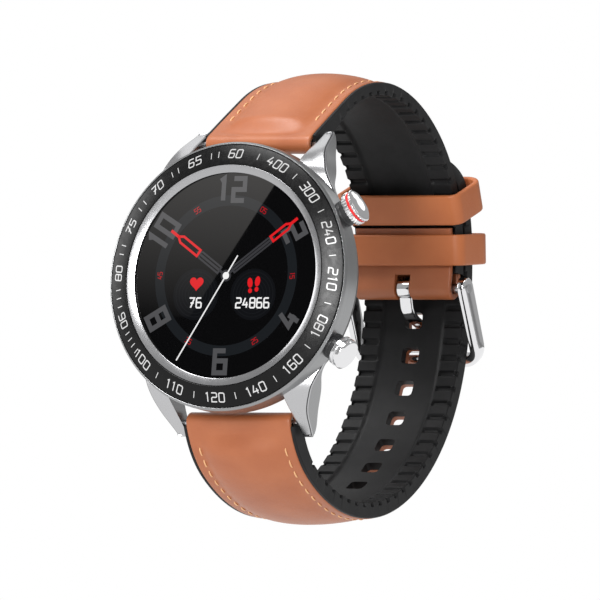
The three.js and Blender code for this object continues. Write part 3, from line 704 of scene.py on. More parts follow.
def lining(name, line, distances, depth_at, first, last, seat=1.0, share=lambda d: 1.0):
    """The rubber lining: a closed strip with tread blocks along both edges of its inner face.

    The blocks run from the first to the last distance, and the leather lies in a seat this deep.
    """
    sections = []
    gap = TREAD_GROOVE / TREAD_PITCH
    for d in distances:
        y, z, heading = line.at(d)
        w, depth = half_width(y, LINING_HALF), depth_at(d)
        phase = (d % TREAD_PITCH) / TREAD_PITCH
        block = ease(phase, gap, gap + TREAD_WALL) * (1 - ease(phase, 1 - TREAD_WALL, 1.0))
        block *= ease(d, first, first + 0.8) * (1 - ease(d, last - 0.8, last))
        notch = NOTCH_DEPTH * (1 - block) * ease(d, first, first + 2) * (1 - ease(d, last - 2, last))
        edge = w - notch
        lip = half_width(y, LEATHER_HALF) + 0.03
        side = [(lip, -LIP_DROP), (w - 0.14, -LIP_DROP), (w, -LIP_DROP - 0.16), (w, -depth + 0.75),
                (edge, -depth + 0.55), (edge, -depth + 0.12), (edge - 0.12, -depth)]
        other_side = [(-x, h) for x, h in side[::-1]]
        inner_face = []
        for x in np.linspace(1, -1, 56) * (w - 0.62):
            from_middle = abs(x) / w
            channel = CHANNEL_DEPTH * (1 - ease(from_middle, 0.56, 0.64))
            groove = TREAD_HEIGHT * (1 - block) * ease(from_middle, 0.62, 0.66)
            inner_face.append((x, -depth + channel + groove))
        under_leather = [(x, -seat) for x in np.linspace(-1, 1, 9) * (lip - 0.02)]
        ring = [*under_leather, *side, *inner_face, *other_side]
        sections.append(across_strap([(x * share(d), h) for x, h in ring], y, z, heading))
    return skin(name, sections, RUBBER, 32)


STITCH_PITCH, STITCH_LENGTH, STITCH_RADIUS, STITCH_INSET = 2.5, 1.8, 0.15, 1.75
STITCH_LIFT, STITCH_DIP = 0.1, 0.22  # the thread's middle over the leather, and its ends' drop from it


def stitches(name, line, first, stop):
    """Thread along both margins, each stitch a short round loop pressed into the leather."""
    shapes = []
    for side in (-1, 1):
        for start in np.arange(first, stop - STITCH_LENGTH, STITCH_PITCH):
            sections = []
            for u in np.linspace(0, 1, 7):
                y, z, heading = line.at(start + u * STITCH_LENGTH)
                x = side * (half_width(y, LEATHER_HALF) - STITCH_INSET)
                swell = STITCH_RADIUS * math.sin(math.pi * (0.08 + 0.84 * u)) ** 0.35
                lift = STITCH_LIFT - STITCH_DIP * (2 * u - 1) ** 4
                ring = []
                for a in turns(6):
                    ring.append((x + swell * math.cos(a), lift + 0.8 * swell * math.sin(a)))
                sections.append(across_strap(ring, y, z, heading))
            shapes.append(tube_mesh(sections))
    points, faces = joined(shapes)
    return mesh_object(name, to_row(points), faces, THREAD)


def bend(thing, parent, child, line, flex_at, *replaced, slot):
    """Bakes the piece's transform and hides the CAD nodes it replaces; the flex line's ends are found but not
    used, so the piece is not bent between the strap bodies.
    """
    y0, z0, _ = line.at(flex_at - FLEX_REACH)
    y1, z1, _ = line.at(flex_at + FLEX_REACH)
    to_row((0, y0, z0))
    to_row((0, y1, z1))
    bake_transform(thing)
    if replaced:
        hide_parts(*replaced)
    return thing


slots = [m.get("slot") for m in frame["record"].get("materials", [])]
LEATHER_SLOT = next(s for s in slots if "leather" in s)
RUBBER_SLOT = next(s for s in slots if "rubber" in s)
UPPER_SPAN = ("upper_strap_root", "upper_strap_end", upper, UPPER_FLEX_AT)
LOWER_SPAN = ("tail", "lower_strap_root", tail, TAIL_FLEX_AT)
SLOT_SIZE = (3.0, 10, 6.2, 0.25)  # width, length, depth and corner of the tongue's slot
HOLE_SIZE = (3.3, 2.8, 7, 0.75)
SLOT_DROP = 0.9  # the slot's centre lies this far below the buckle bar


# upper half


def tongue_slot():
    return cutter([box_shape(buckle_y, buckle_z - SLOT_DROP, 0.0, *SLOT_SIZE)])


def upper_lining_depth(distance):
    """The lining thins where the leather is folded back over it."""
    return upper_depth(distance) - 0.75 * ease(distance, fold_from - 0.5, fold_from)


upper_skin = strap_leather()
cut_with(upper_skin, tongue_slot())
bend(upper_skin, *UPPER_SPAN, "upper_leather_near_case", "upper_leather_near_buckle", slot=LEATHER_SLOT)
upper_rubber = lining("upper_lining", upper, np.arange(0.2, upper.length - 2.6, LINING_STEP),
                      upper_lining_depth, 9, fold_from - 1.2, seat=0.75)
bend(upper_rubber, *UPPER_SPAN, "upper_lining_near_case", "upper_lining_near_buckle", slot=RUBBER_SLOT)
cut_with(upper_rubber, tongue_slot())
bend(stitches("upper_stitches", upper, 5.2, 46.0), *UPPER_SPAN, slot=LEATHER_SLOT)


# lower half, from the tail's tip down to the lower lugs

TIP_CORNER = 6.0  # millimetres, radius of the tail's rounded corners
TIP_STATIONS = [0.0, 0.25, 0.6, 1.1, 1.8, 2.6]


def tip_share(distance):
    """How much of the full width the tail has near its tip."""
    if distance >= TIP_CORNER:
        return 1.0
    sunk = TIP_CORNER - math.sqrt(TIP_CORNER**2 - (TIP_CORNER - max(distance, 0.15)) ** 2)
    return 1 - sunk / LEATHER_HALF


def tail_leather():
    distances = np.concatenate([TIP_STATIONS, np.linspace(3.4, tail.length - 0.6, 200)])
    stations = [(*tail.at(d), tail.length - d) for d in distances]
    arrival = math.degrees(tail.at(tail.length)[2])
    nose = nose_stations(BAR_Y, -BAR_Z, NOSE_R, arrival + 70, arrival - 90)
    sections = leather_band([*stations, *((*station, 0.0) for station in nose)], 1.2)
    for d, ring in zip(distances, sections):
        ring[:] = [(x * tip_share(d), y, z) for x, y, z in ring]
    return skin("tail_leather_skin", sections, TAN)


def tail_holes():
    places = [tail.out(HOLE_FIRST_AT + k * HOLE_PITCH, -TAIL_THICK / 2) for k in range(HOLE_COUNT)]
    return cutter(box_shape(*place, *HOLE_SIZE) for place in places)


tail_skin = tail_leather()
cut_with(tail_skin, tail_holes())
bend(tail_skin, *LOWER_SPAN, "tail_leather", "lower_leather_near_case", slot=LEATHER_SLOT)
tail_rubber = lining("tail_lining_strip", tail, np.arange(0.0, tail.length - 0.2, LINING_STEP),
                     tail_depth, 6, tail.length - 9, share=tip_share)
cut_with(tail_rubber, tail_holes())
bend(tail_rubber, *LOWER_SPAN, "tail_lining", "lower_lining_near_case", slot=RUBBER_SLOT)
bend(stitches("lower_stitches", tail, tail.length - 46, tail.length - 2.0), *LOWER_SPAN, slot=LEATHER_SLOT)


# ---- keepers

KEEPER_WIDTH = 5.3
KEEPER_INNER_CORNER, KEEPER_OUTER_CORNER = 1.3, 3.4


def keeper_path(w, low, high):
    """The band's middle line as (x, height, normal x, normal height), with points along its sides."""
    inner, outer = KEEPER_INNER_CORNER, KEEPER_OUTER_CORNER
    corners = []
    for x, h, r, start in (
        (w - inner, low + inner, inner, -90), (w - outer, high - outer, outer, 0),
        (outer - w, high - outer, outer, 90), (inner - w, low + inner, inner, 180),
    ):
        for k in range(9):
            a = math.radians(start + 90 * k / 8)
            corners.append((x + r * math.cos(a), h + r * math.sin(a), math.cos(a), math.sin(a)))
    path = []
    for here, following in zip(corners, corners[1:] + corners[:1]):
        path.append(here)
        dx, dh = following[0] - here[0], following[1] - here[1]
        if math.hypot(dx, dh) > 2:
            path += [(here[0] + k / 12 * dx, here[1] + k / 12 * dh, *here[2:]) for k in range(1, 12)]
    return path


def keeper(name, body, angle, half, inner, outer, wall):
    """A leather band round both strap ends, with soft edges and rounder outer corners."""
    bearing = math.radians(angle)
    t, l = wall / 2, KEEPER_WIDTH / 2
    rim = soften([(-t, -l), (t, -l), (t, l), (-t, l)], 0.4, 4)
    sections = []
    for x, h, nx, nh in keeper_path(half + t, -inner - t, outer + t):
        ring = []
        for thick, along in rim:
            radius = wrap_radius + h + thick * nh
            ring.append((
                x + thick * nx,
                wrap_y + radius * math.cos(bearing) - along * math.sin(bearing),
                wrap_z + radius * math.sin(bearing) + along * math.cos(bearing),
            ))
        sections.append(ring)
    band = skin(name + "_band", sections, KEEPER_TAN, close_path=True)
    ride(band, body, name, slot=LEATHER_SLOT)


keeper("fixed_keeper", "upper_strap_end", 9.8, 11.0, 4.25, 5.4, 1.1)
keeper("free_keeper", "free_keeper", 26.4, 11.1, 4.0, 5.3, 1.0)


# ---- buckle

CROSSBAR_Y, CROSSBAR_Z = 68.6, -4.7
ARM_X, ARM_HALF_WIDTH, ARM_HALF_THICK, BOW_CORNER = 11.45, 1.9, 0.8, 2.4


def superellipse(half_a, half_b, power, steps=24):
    out = []
    for a in turns(steps) + math.pi / steps:
        c, s = math.cos(a), math.sin(a)
        out.append((half_a * math.copysign(abs(c) ** (2 / power), c),
                    half_b * math.copysign(abs(s) ** (2 / power), s)))
    return out


def buckle_frame():
    """Two flat arms from the bar, joined by a rounder crossbar."""
    reach = math.hypot(CROSSBAR_Y - buckle_y, CROSSBAR_Z - buckle_z)
    along = ((CROSSBAR_Y - buckle_y) / reach, (CROSSBAR_Z - buckle_z) / reach)
    square = (-along[1], along[0])  # towards the outside of the wrist
    straight = reach - BOW_CORNER
    round_end = -ARM_HALF_WIDTH * np.cos(np.linspace(0, 1.3, 7))
    arm = []  # (x, distance along the arm, normal x, normal along, half a, half b, power)
    for d in round_end:
        swell = math.sqrt(max(0.04, ARM_HALF_WIDTH**2 - d**2))
        arm.append((ARM_X, d, 1.0, 0.0, ARM_HALF_THICK, swell, 4.0))
    for d in np.linspace(0, straight, 12):
        arm.append((ARM_X, d, 1.0, 0.0, ARM_HALF_THICK, ARM_HALF_WIDTH - 0.25 * d / reach, 4.0))
    for t in np.linspace(0, 1, 9)[1:]:
        c, s = math.cos(t * math.pi / 2), math.sin(t * math.pi / 2)
        arm.append((ARM_X - BOW_CORNER + BOW_CORNER * c, straight + BOW_CORNER * s, c, s,
                    ARM_HALF_THICK + 0.4 * t, 1.65 - 0.35 * t, 4.0 - 1.5 * t))
    bow = [(x, reach, 0.0, 1.0, 1.2, 1.3, 2.5)
           for x in np.linspace(ARM_X - BOW_CORNER, BOW_CORNER - ARM_X, 18)[1:-1]]
    other_arm = [(-x, d, -nx, *rest) for x, d, nx, *rest in arm[::-1]]
    sections = []
    for x, d, nx, nd, a, b, p in [*arm, *bow, *other_arm]:
        ring = []
        for u, v in superellipse(a, b, p):
            pd = d + u * nd
            ring.append((x + u * nx, buckle_y + pd * along[0] + v * square[0],
                         buckle_z + pd * along[1] + v * square[1]))
        sections.append(ring)
    return skin("buckle_frame_bow", sections, POLISHED, 50)


ride(buckle_frame(), "buckle_frame", "buckle_frame")

TONGUE_HALF_WIDTH, TONGUE_HALF_THICK = 1.25, 0.4
TONGUE_PATH = [(61.2, 5.5), (61.95, 5.15), (62.75, 3.3), (64.4, 2.0), (67.4, 1.1), (69.3, -0.9),
               (70.35, -3.3), (70.45, -4.9), (70.3, -6.4)]
LOOP_INNER, LOOP_OUTER, LOOP_HALF = 0.98, 1.62, 1.25


def through(points, each=8):
    """A smooth curve through the points."""
    p = [np.array(q, float) for q in points]
    p = [2 * p[0] - p[1], *p, 2 * p[-1] - p[-2]]
    out = []
    for a, b, c, d in zip(p, p[1:], p[2:], p[3:]):
        for t in np.linspace(0, 1, each, endpoint=False):
            out.append(0.5 * (2 * b + (c - a) * t + (2 * a - 5 * b + 4 * c - d) * t**2
                              + (3 * b - a - 3 * c + d) * t**3))
    return [*out, p[-2]]


def buckle_tongue():
    curve = through(TONGUE_PATH)
    sections = []
    for i, (y, z) in enumerate(curve):
        before, after = curve[max(0, i - 1)], curve[min(len(curve) - 1, i + 1)]
        dy, dz = (after - before) / np.linalg.norm(after - before)
        left = (len(curve) - 1 - i) / 6
        narrow = 0.75 + 0.25 * min(1.0, left) ** 0.5
        ring = superellipse(TONGUE_HALF_WIDTH * narrow, TONGUE_HALF_THICK * narrow, 4.5, 28)
        sections.append([(u, y - v * dz, z + v * dy) for u, v in ring])
    return skin("tongue_blade", sections, POLISHED, 50)


def tongue_loop():
    """The tongue's eye round the buckle bar."""
    rim = soften([(LOOP_INNER, -LOOP_HALF), (LOOP_OUTER, -LOOP_HALF), (LOOP_OUTER, LOOP_HALF),
                  (LOOP_INNER, LOOP_HALF)], 0.18, 3)
    sections = []
    for a in turns(48):
        sections.append([(u, buckle_y + r * math.cos(a), buckle_z + r * math.sin(a)) for r, u in rim])
    return skin("tongue_loop", sections, POLISHED, 50, close_path=True)


ride(buckle_tongue(), "buckle_tongue", "buckle_tongue")
ride(tongue_loop(), "buckle_tongue")


# ---- case

CASE = "case"
ride(lathe("case_band", [
    (22.52, 0.5), (22.54, 0.02), (22.66, -0.04), (22.98, 0.42), (23.0, 0.6), (23.0, 3.9),
    (22.8, 4.38), (20.5, 4.38), (20.5, 0.5),
], [BRUSHED], 192, 0.05), CASE, "mid_case")


def along_table(table, at):
    """A table's value, rounded off at its corners."""
    spread_over = at + np.linspace(-0.9, 0.9, 13)
    return float(np.mean(np.interp(spread_over, *zip(*table))))


# Lug outlines, as (height above the middle, depth or half width)
LUG_TOP = [(13.5, 0.75), (14, 0.8), (17.5, 0.95), (19.0, 1.25), (20.0, 1.9), (21.0, 3.15), (22.45, 5.2),
           (24.0, 7.35), (25.55, 9.5), (26.05, 10.15)]
LUG_UNDER = [(13.5, 4.3), (15.8, 4.5), (18.2, 6.9), (20.4, 8.0), (22.2, 9.1), (24.0, 10.3),
             (25.2, 10.75), (26.05, 10.6)]
LUG_SIDE = [(13.5, 18.6), (14, 18.2), (15.5, 17.35), (17.0, 16.6), (18.5, 15.95), (20.0, 15.4),
            (21.5, 14.7), (23.0, 14.1), (24.5, 13.55), (26.05, 13.0)]
LUG_HEIGHTS = [*np.linspace(13.5, 25.4, 34), 25.7, 25.9, 26.0]
LUG_INSIDE = 11.2
OUTWARD_DROP = 0.42  # the top face falls this much per millimetre outwards


def lug_ring(z):
    """The lug's outline at a height, as (x, depth) points, with its long sides divided."""
    top, under, out = (along_table(table, z) for table in (LUG_TOP, LUG_UNDER, LUG_SIDE))
    drop = OUTWARD_DROP * (1 - ease(z, 19.4, 23.5)) * (out - LUG_INSIDE)
    close = 1 - 0.5 * ease(z, 25.2, 26.0) ** 2
    middle = (top + under) / 2
    top, under = middle + (top - middle) * close, middle + (under - middle) * close
    drop = min(drop, under - top - 1.0)
    edge = top + drop
    ring = [
        (LUG_INSIDE, top + 0.15), (LUG_INSIDE + 0.15, top), (out - 0.34, edge - 0.02),
        (out - 0.24, edge + 0.02), (out - 0.10, edge + 0.16), (out, edge + 0.34),
        (out, under - 0.3), (out - 0.3, under), (LUG_INSIDE + 0.15, under), (LUG_INSIDE, under - 0.15),
    ]
    divided = []
    for k, ((x0, y0), (x1, y1)) in enumerate(zip(ring, ring[1:] + ring[:1])):
        parts = 6 if k in (1, 5, 7, 9) else 1
        divided += [(x0 + (x1 - x0) * j / parts, y0 + (y1 - y0) * j / parts) for j in range(parts)]
    return divided


def lug_finish(face, columns):
    """0 satin on the top face and its bevel, 2 a line of painted shade between them, 1 brushed elsewhere."""
    seen = {v % columns for v in face}
    if len(face) != 4:
        return 1
    if seen <= {8, 9}:
        return 2
    return 0 if seen <= set(range(8)) or seen <= {7, 8, 9, 10} else 1


def lug(name, side, end):
    sections = []
    for z in LUG_HEIGHTS:
        sections.append([(side * x, y, end * z) for x, y in lug_ring(z)])
    points, faces = tube_mesh(sections)
    finishes = [lug_finish(face, len(sections[0])) for face in faces]
    return mesh_object(name, to_row(points), faces, [SATIN, BRUSHED, EDGE_SHADE], 32, finishes)


for side, word in ((-1, "left"), (1, "right")):
    for end, level in ((1, "upper"), (-1, "lower")):
        ride(lug(f"lug_{level}_{word}", side, end), CASE)

ride(lathe("bezel_cone", [
    (18.95, 0.4), (18.95, -1.22), (19.05, -1.3), (22.38, -0.05), (22.46, 0.06), (22.46, 0.4),
], BEZEL, 192, 0.04), CASE, "bezel_ring")
ride(lathe("glass_frame", [
    (17.57, -0.5), (17.57, -0.80), (17.75, -0.86), (18.85, -1.24), (18.88, 0.6), (18.25, 0.6), (18.25, -0.5),
], RING, 192, 0.04), CASE, "display_ring")
ride(lathe("glass_disc", [(0, 0.4), (18.1, 0.4), (18.1, GLASS_FACE), (0, GLASS_FACE)], GLASS, 192, 0.0,
           smooth=20), CASE, "cover_glass")
ride(lathe("back_shell", [
    (0, 8.4), (12.6, 8.4), (12.6, 6.9), (19.4, 6.9), (19.4, 4.55), (22.3, 4.55), (22.3, 5.4), (21.4, 7.2),
    (20.4, 7.7), (15.2, 7.8), (13.9, 8.9), (12.6, 9.2), (8.7, 9.2), (8.7, 8.75), (0, 8.75),
], PLASTIC, 160, 0.12), CASE, "back_case")


# ---- crown and pusher

BUTTON_DEPTH = 3.0


def button_place(angle):
    """Places a turned profile of (radius, distance from the case's centre) at a clock bearing."""
    a = math.radians(angle)

    def place(points):
        p = np.asarray(points)
        x, r1, r2 = p[:, 1], p[:, 0], p[:, 2]
        return to_row(np.stack([
            x * math.cos(a) - r1 * math.sin(a), BUTTON_DEPTH + r2, x * math.sin(a) + r1 * math.cos(a),
        ], -1))

    return place


def ribbed(name, start, end, radius, place, ribs=30, depth=0.22):
    """A ring with rounded ribs."""
    sections = []
    for x, share in ((start, 0), (start + 0.08, 1), (end - 0.08, 1), (end, 0)):
        ring = []
        for a in turns(ribs * 6):
            wave = 0.5 + 0.5 * math.tanh(2.6 * math.cos(ribs * a))
            r = radius - depth * (1 - wave) - 0.1 * (1 - share)
            ring.append((r * math.cos(a), x, r * math.sin(a)))
        sections.append(ring)
    points, faces = tube_mesh(sections)
    return mesh_object(name, place(points), faces, POLISHED, 50)


crown_at = button_place(28.5)
ride(ribbed("crown_ribs", 24.35, 25.32, 2.95, crown_at), "crown", "crown_head")
ride(lathe("crown_red", [(0, 25.34), (2.86, 25.34), (2.86, 25.68), (0, 25.68)], RED, 96, 0.06, crown_at),
     "crown", "crown_red_ring")
ride(ribbed("crown_cap_ribs", 25.70, 26.08, 2.95, crown_at), "crown")
ride(lathe("crown_dome", [(0, 25.72), (2.82, 25.72), (2.88, 26.06), (2.62, 26.22), (2.0, 26.36), (1.2, 26.46),
                          (0, 26.5)], POLISHED, 96, 0.08, crown_at), "crown", "crown_cap")
pusher_at = button_place(-30)
ride(lathe("pusher_barrel", [
    (0, 24.35), (2.55, 24.35), (2.7, 24.5), (2.7, 25.08), (2.56, 25.12), (2.56, 25.32), (2.7, 25.36),
    (2.7, 26.0), (2.4, 26.3), (0, 26.34),
], POLISHED, 96, 0.05, pusher_at), "pusher", "pusher_cap")
for name, place in (("crown", crown_at), ("pusher", pusher_at)):
    ride(lathe(f"{name}_collar_skin", [
        (1.4, 22.7), (2.2, 22.7), (2.3, 22.85), (2.3, 23.35), (2.15, 23.45), (1.4, 23.45),
    ], PLASTIC, 72, 0.08, place), CASE)


# ---- markings

# Strokes on a 4 x 7 grid.
LOOP = [(0.7, 0), (3.3, 0), (4, 0.7), (4, 6.3), (3.3, 7), (0.7, 7), (0, 6.3), (0, 0.7), (0.7, 0)]
GLYPHS = {
    "0": [LOOP],
    "1": [[(1.0, 6.2), (2.2, 7), (2.2, 0)]],
    "2": [[(0, 7), (3.3, 7), (4, 6.3), (4, 4.2), (3.3, 3.5), (0.7, 3.5), (0, 2.8), (0, 0), (4, 0)]],
    "3": [[(0, 7), (4, 7), (4, 0), (0, 0)], [(0.8, 3.6), (4, 3.6)]],
    "4": [[(1.8, 7), (0, 2.2), (4, 2.2)], [(3, 4.2), (3, 0)]],
    "5": [[(4, 7), (0, 7), (0, 3.8), (3.3, 3.8), (4, 3.1), (4, 0.7), (3.3, 0), (0, 0)]],
    "6": [[(3.8, 7), (0.7, 7), (0, 6.3), (0, 0.7), (0.7, 0), (3.3, 0), (4, 0.7), (4, 3.1), (3.3, 3.8),
           (0, 3.8)]],
    "7": [[(0, 7), (4, 7), (1.2, 0)], [(1.0, 3.4), (3.6, 3.4)]],
    "8": [LOOP, [(0, 3.6), (4, 3.6)]],
    "9": [[(0, 0), (3.3, 0), (4, 0.7), (4, 6.3), (3.3, 7), (0.7, 7), (0, 6.3), (0, 4.0), (0.7, 3.3),
           (4, 3.3)]],
}


def ribbon(points, width):
    """A flat mitred stroke through the points: quads as lists of four (u, v) corners."""
    points = [np.array(p, float) for p in points]
    closed = np.allclose(points[0], points[-1]) and len(points) > 2
    if closed:
        points = points[:-1]
    count = len(points)
    sides = []
    for i, p in enumerate(points):
        before = p - points[i - 1] if closed or i > 0 else points[1] - p
        after = points[(i + 1) % count] - p if closed or i < count - 1 else p - points[i - 1]
        a, b = before / np.linalg.norm(before), after / np.linalg.norm(after)
        na, nb = np.array([-a[1], a[0]]), np.array([-b[1], b[0]])
        m = na + nb
        m = m / max(0.35, m @ na) if m @ m > 1e-9 else na
        sides.append((p + m * width / 2, p - m * width / 2))
    quads = []
    for i in range(count if closed else count - 1):
        (l0, r0), (l1, r1) = sides[i], sides[(i + 1) % count]
        quads.append([l0, r0, r1, l1])
    return quads


def squared(line):
    """The same stroke with its cut corners filled out to right angles."""
    out = [line[0]]
    for a, b in zip(line, line[1:]):
        if 0 < abs(a[0] - b[0]) < 1 and 0 < abs(a[1] - b[1]) < 1:
            out[-1] = (4 if max(a[0], b[0]) > 3.5 else 0, a[1] if a[1] in (0, 3.5, 3.8, 7) else b[1])
        else:
            out.append(b)
    if line[0] == line[-1]:
        out = [out[-1], *out[1:-1], out[-1]]
    return out


def text_quads(text, height, stroke, gap=1.6, slant=0.0, stretch=1.0, square=False):
    """Stroked numerals centred on the origin."""
    unit = height / 7
    advance = [(3.0 if c == "1" else 4.0) for c in text]
    total = sum(advance) + gap * (len(text) - 1)
    quads, u = [], -total / 2
    for c, wide in zip(text, advance):
        offset = u - (0.6 if c == "1" else 0)
        for line in GLYPHS[c]:
            if square:
                line = squared(line)
            moved = [((x + offset + slant * (y - 3.5)) * unit * stretch, (y - 3.5) * unit) for x, y in line]
            quads += ribbon(moved, stroke)
        u += wide + gap
    return quads


def on_plane(u, v, angle, radius, upright):
    """From a label's own (u, v) to (x, z) at a clock angle in degrees."""
    a = math.radians(angle)
    turn = a if upright else a + math.pi
    x = radius * math.sin(a) + u * math.cos(turn) + v * math.sin(turn)
    z = radius * math.cos(a) - u * math.sin(turn) + v * math.cos(turn)
    return x, z


def on_cone(x, z):
    """The depth of the bezel's sloping face, with the paint's lift."""
    return -1.3 + 1.25 * (math.hypot(x, z) - 19.05) / 3.33 - 0.02


def marks(name, quads_at, depth, material):
    """Flat marks that face the viewer."""
    points, faces = [], []
    for quad in quads_at:
        faces.append(tuple(range(len(points), len(points) + len(quad))))
        points += [(x, depth(x, z) if callable(depth) else depth, z) for x, z in quad]
    thing = mesh_object(name, to_row(points), faces, material, fix=False)
    front = Vector(direction((0, -1, 0)))
    if sum(p.normal.dot(front) * p.area for p in thing.data.polygons) < 0:
        thing.data.flip_normals()
    ride(thing, CASE)


def placed(quads, angle, radius, upright):
    return [[on_plane(u, v, angle, radius, upright) for u, v in quad] for quad in quads]


SCALE_RADIUS, UPRIGHT_TO = 20.8, 100  # numerals beyond this bearing are turned to read outwards
SCALE = [("60", 1.1), ("65", -21.0), ("70", -43.8), ("75", -66.4), ("80", -89.0), ("90", -111.8),
         ("100", -133.8), ("110", -156.1), ("120", -179.0), ("140", 158.8), ("160", 136.7),
         ("180", 114.6), ("210", 91.7), ("240", 69.5), ("300", 47.0), ("400", 24.5)]
TICKS = [-8.0, -12.0, -30.5, -34.2, -53.2, -57.2, -75.8, -80.0, -97.0, -101.0, -105.0, -118.5, -121.8,
         -125.0, -128.3, -145.0, -167.6, 170.0, 147.8, 125.6, 103.2, 80.6, 58.2, 35.8, 13.4]
scale_quads = []
for text, angle in SCALE:
    upright = abs(angle) < UPRIGHT_TO
    quads = text_quads(text, 1.45, 0.2, gap=1.7, slant=0.08 if upright else 0.0, stretch=1.22)
    scale_quads += placed(quads, angle, SCALE_RADIUS, upright)
for angle in TICKS:
    scale_quads += placed(ribbon([(0, -0.55), (0, 0.55)], 0.14), angle, SCALE_RADIUS, True)
# The scale's numerals and ticks glow: painted light on white paint.
marks("bezel_scale", scale_quads, on_cone, GLOWING_PAINT)

DIAL_GREY = lit_look("dial_grey", (0.085, 0.085, 0.09))
DIAL_DARK = lit_look("dial_slate", (0.0125, 0.0145, 0.017))
DIAL_DISC = lit_look("dial_disc", (0.0065, 0.007, 0.0085))
DIAL_RINGS = lit_look("dial_rings", (0.011, 0.012, 0.014))
DIAL_RED = lit_look("dial_red", (0.78, 0.015, 0.02))
DIAL_RED_DIM = lit_look("dial_red_dim", (0.45, 0.01, 0.014))
DIAL_WHITE = lit_look("dial_white", (0.95, 0.95, 0.95))
HAND_GREY = lit_look("hand_grey", (0.045, 0.045, 0.05))
FACE, LAYER = -0.41, 0.006  # depth of the display's picture, just on the glass, and its layers' step
SUB_LEFT, SUB_RIGHT = (-5.6, -3.2), (5.5, -3.2)
HANDS = [  # name, bearing, (start, end) of the stem, (start, end, inner end) of the tip, half width
    ("hour", -55.6, (1.6, 6.2), (6.8, 10.9, 13.6), 0.6),
    ("minute", 53.4, (1.6, 10.0), (10.5, 14.0, 16.4), 0.5),
]
SECOND_BEARING = -149.5
DIGIT_RADIUS, MINUTE_RADIUS = 14.7, 12.85


def dial(name, quads, layer, look):
    marks(name, quads, FACE - layer * LAYER, look)


def ring_quads(inner, outer, centre=(0, 0), steps=96):
    step = 2 * math.pi / steps
    return [[(centre[0] + r * math.sin(t), centre[1] + r * math.cos(t))
             for r, t in ((inner, a), (outer, a), (outer, a + step), (inner, a + step))]
            for a in turns(steps)]


def fan(centre, points):
    """Triangles from a centre to the outline round it."""
    return [[centre, here, following] for here, following in zip(points, points[1:] + points[:1])]


def heart_quads(centre, size):
    points = []
    for t in turns(48):
        x = 16 * math.sin(t) ** 3
        y = 13 * math.cos(t) - 5 * math.cos(2 * t) - 2 * math.cos(3 * t) - math.cos(4 * t)
        points.append((centre[0] + size * x / 16, centre[1] + size * y / 16))
    return fan(centre, points)


def blob_quads(centre, rx, rz, lean=0.0):
    points = []
    for a in turns(28):
        x, z = rx * math.cos(a), rz * math.sin(a)
        points.append((centre[0] + x * math.cos(lean) - z * math.sin(lean),
                       centre[1] + x * math.sin(lean) + z * math.cos(lean)))
    return fan(centre, points)


def hand_quads(angle, start, end, half, stroke, tip_from):
    """A hollow hand: two rails, closed at both ends, with a pointed tip."""
    loop = [(-half, start), (-half, end), (0, end + 0.9), (half, end), (half, start), (-half, start)]
    quads = ribbon(loop, stroke) + ribbon([(0, end + 0.5), (0, tip_from)], stroke * 1.25)
    return placed(quads, angle, 0, True)


dial("dial_band", ring_quads(11.95, 13.75), 0, DIAL_DARK)
disc_quads, fine_quads = [], []
for centre in (SUB_LEFT, SUB_RIGHT):
    disc_quads += ring_quads(0.01, 4.4, centre, 64)
    for r in np.arange(0.8, 4.3, 0.6):
        fine_quads += ring_quads(r, r + 0.12, centre, 64)
dial("dial_discs", disc_quads, 1, DIAL_DISC)
dial("dial_fine_rings", fine_quads, 2, DIAL_RINGS)
digit_quads = []
for text, angle in (("12", 0), ("2", 60), ("4", 120), ("6", 180), ("8", -120), ("10", -60)):
    quads = text_quads(text, 3.75, 0.86, gap=2.2, square=True)
    digit_quads += placed(quads, angle, DIGIT_RADIUS, abs(angle) < 90)
dial("dial_digits", digit_quads, 2, DIAL_GREY)
red_quads = []
for text, angle in (("05", 30), ("15", 90), ("25", 150), ("35", -150), ("45", -90), ("55", -30)):
    quads = text_quads(text, 0.85, 0.13, gap=1.4)
    red_quads += placed(quads, angle, MINUTE_RADIUS, abs(angle) <= 90)
dial("dial_minutes", red_quads, 2, DIAL_RED_DIM)
icons = heart_quads((SUB_LEFT[0], SUB_LEFT[1] + 1.9), 1.32)
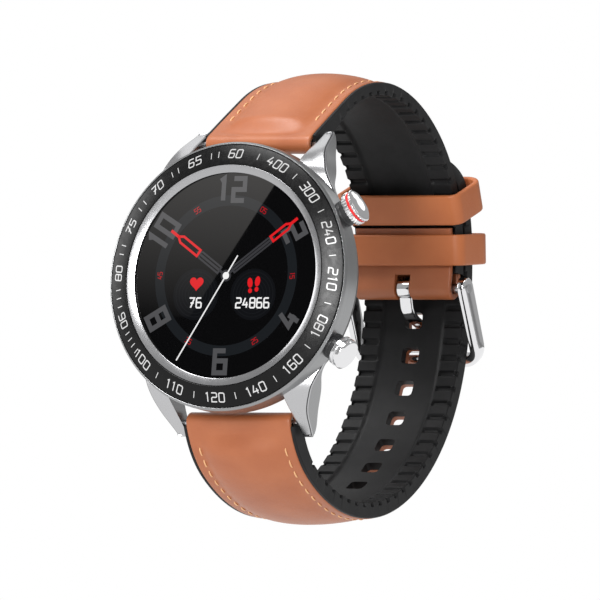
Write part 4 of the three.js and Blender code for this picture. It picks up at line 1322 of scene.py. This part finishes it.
for side in (-1, 1):
    cx, cz = SUB_RIGHT[0] + side * 0.72, SUB_RIGHT[1] + 2.1 + side * 0.12
    icons += blob_quads((cx, cz), 0.5, 0.86, -0.12 * side)
    icons += blob_quads((cx - 0.1 * side, cz - 1.35), 0.38, 0.42)
dial("dial_icons", icons, 3, DIAL_RED)
number_quads = []
for text, (cx, cz) in (("76", SUB_LEFT), ("24866", SUB_RIGHT)):
    for quad in text_quads(text, 1.65, 0.27, gap=1.75):
        number_quads.append([(cx + u, cz - 1.45 + v) for u, v in quad])
dial("dial_numbers", number_quads, 3, DIAL_WHITE)
for name, angle, (stem_start, stem_end), (start, end, tip_from), half in HANDS:
    dial(f"{name}_hand_stem", hand_quads(angle, stem_start, stem_end, half, 0.34, stem_start - 1.2), 4,
         HAND_GREY)
    dial(f"{name}_hand_tip", hand_quads(angle, start, end, half, 0.42, tip_from), 5, DIAL_RED)
second = placed(ribbon([(0, -4.0), (0, 16.8)], 0.24), SECOND_BEARING, 0, True)
dial("second_hand", second, 6, DIAL_WHITE)
dial("hub_ring", blob_quads((0, 0), 1.0, 1.0), 5.5, HAND_GREY)
dial("hub", blob_quads((0, 0), 0.62, 0.62), 7, DIAL_WHITE)


# ---- carried-over CAD nodes

FINISHES = {
    "cover_glass": GLASS, "display_panel": GLASS, "inner_frame": PLASTIC, "main_board": BOARD,
    "battery": CELL, "vibration_motor": SATIN, "speaker": PLASTIC, "sensor_board": BOARD,
    "sensor_module": PLASTIC, "case_gasket": RUBBER, "sensor_window": SENSOR, "buckle_bar": SATIN,
    "crown_switch": SWITCH_BLACK, "pusher_switch": SWITCH_BLACK,
}
FINISHES_BY_WORD = [("charging_pin", GOLD), ("seal", RUBBER), ("collar", PLASTIC), ("leather", TAN),
                    ("keeper", TAN), ("lining", RUBBER), ("", SATIN)]
for name, node in frame["nodes"].items():
    by_word = next(look for word, look in FINISHES_BY_WORD if word in name)
    node.data.materials.clear()
    node.data.materials.append(FINISHES.get(name, by_word))
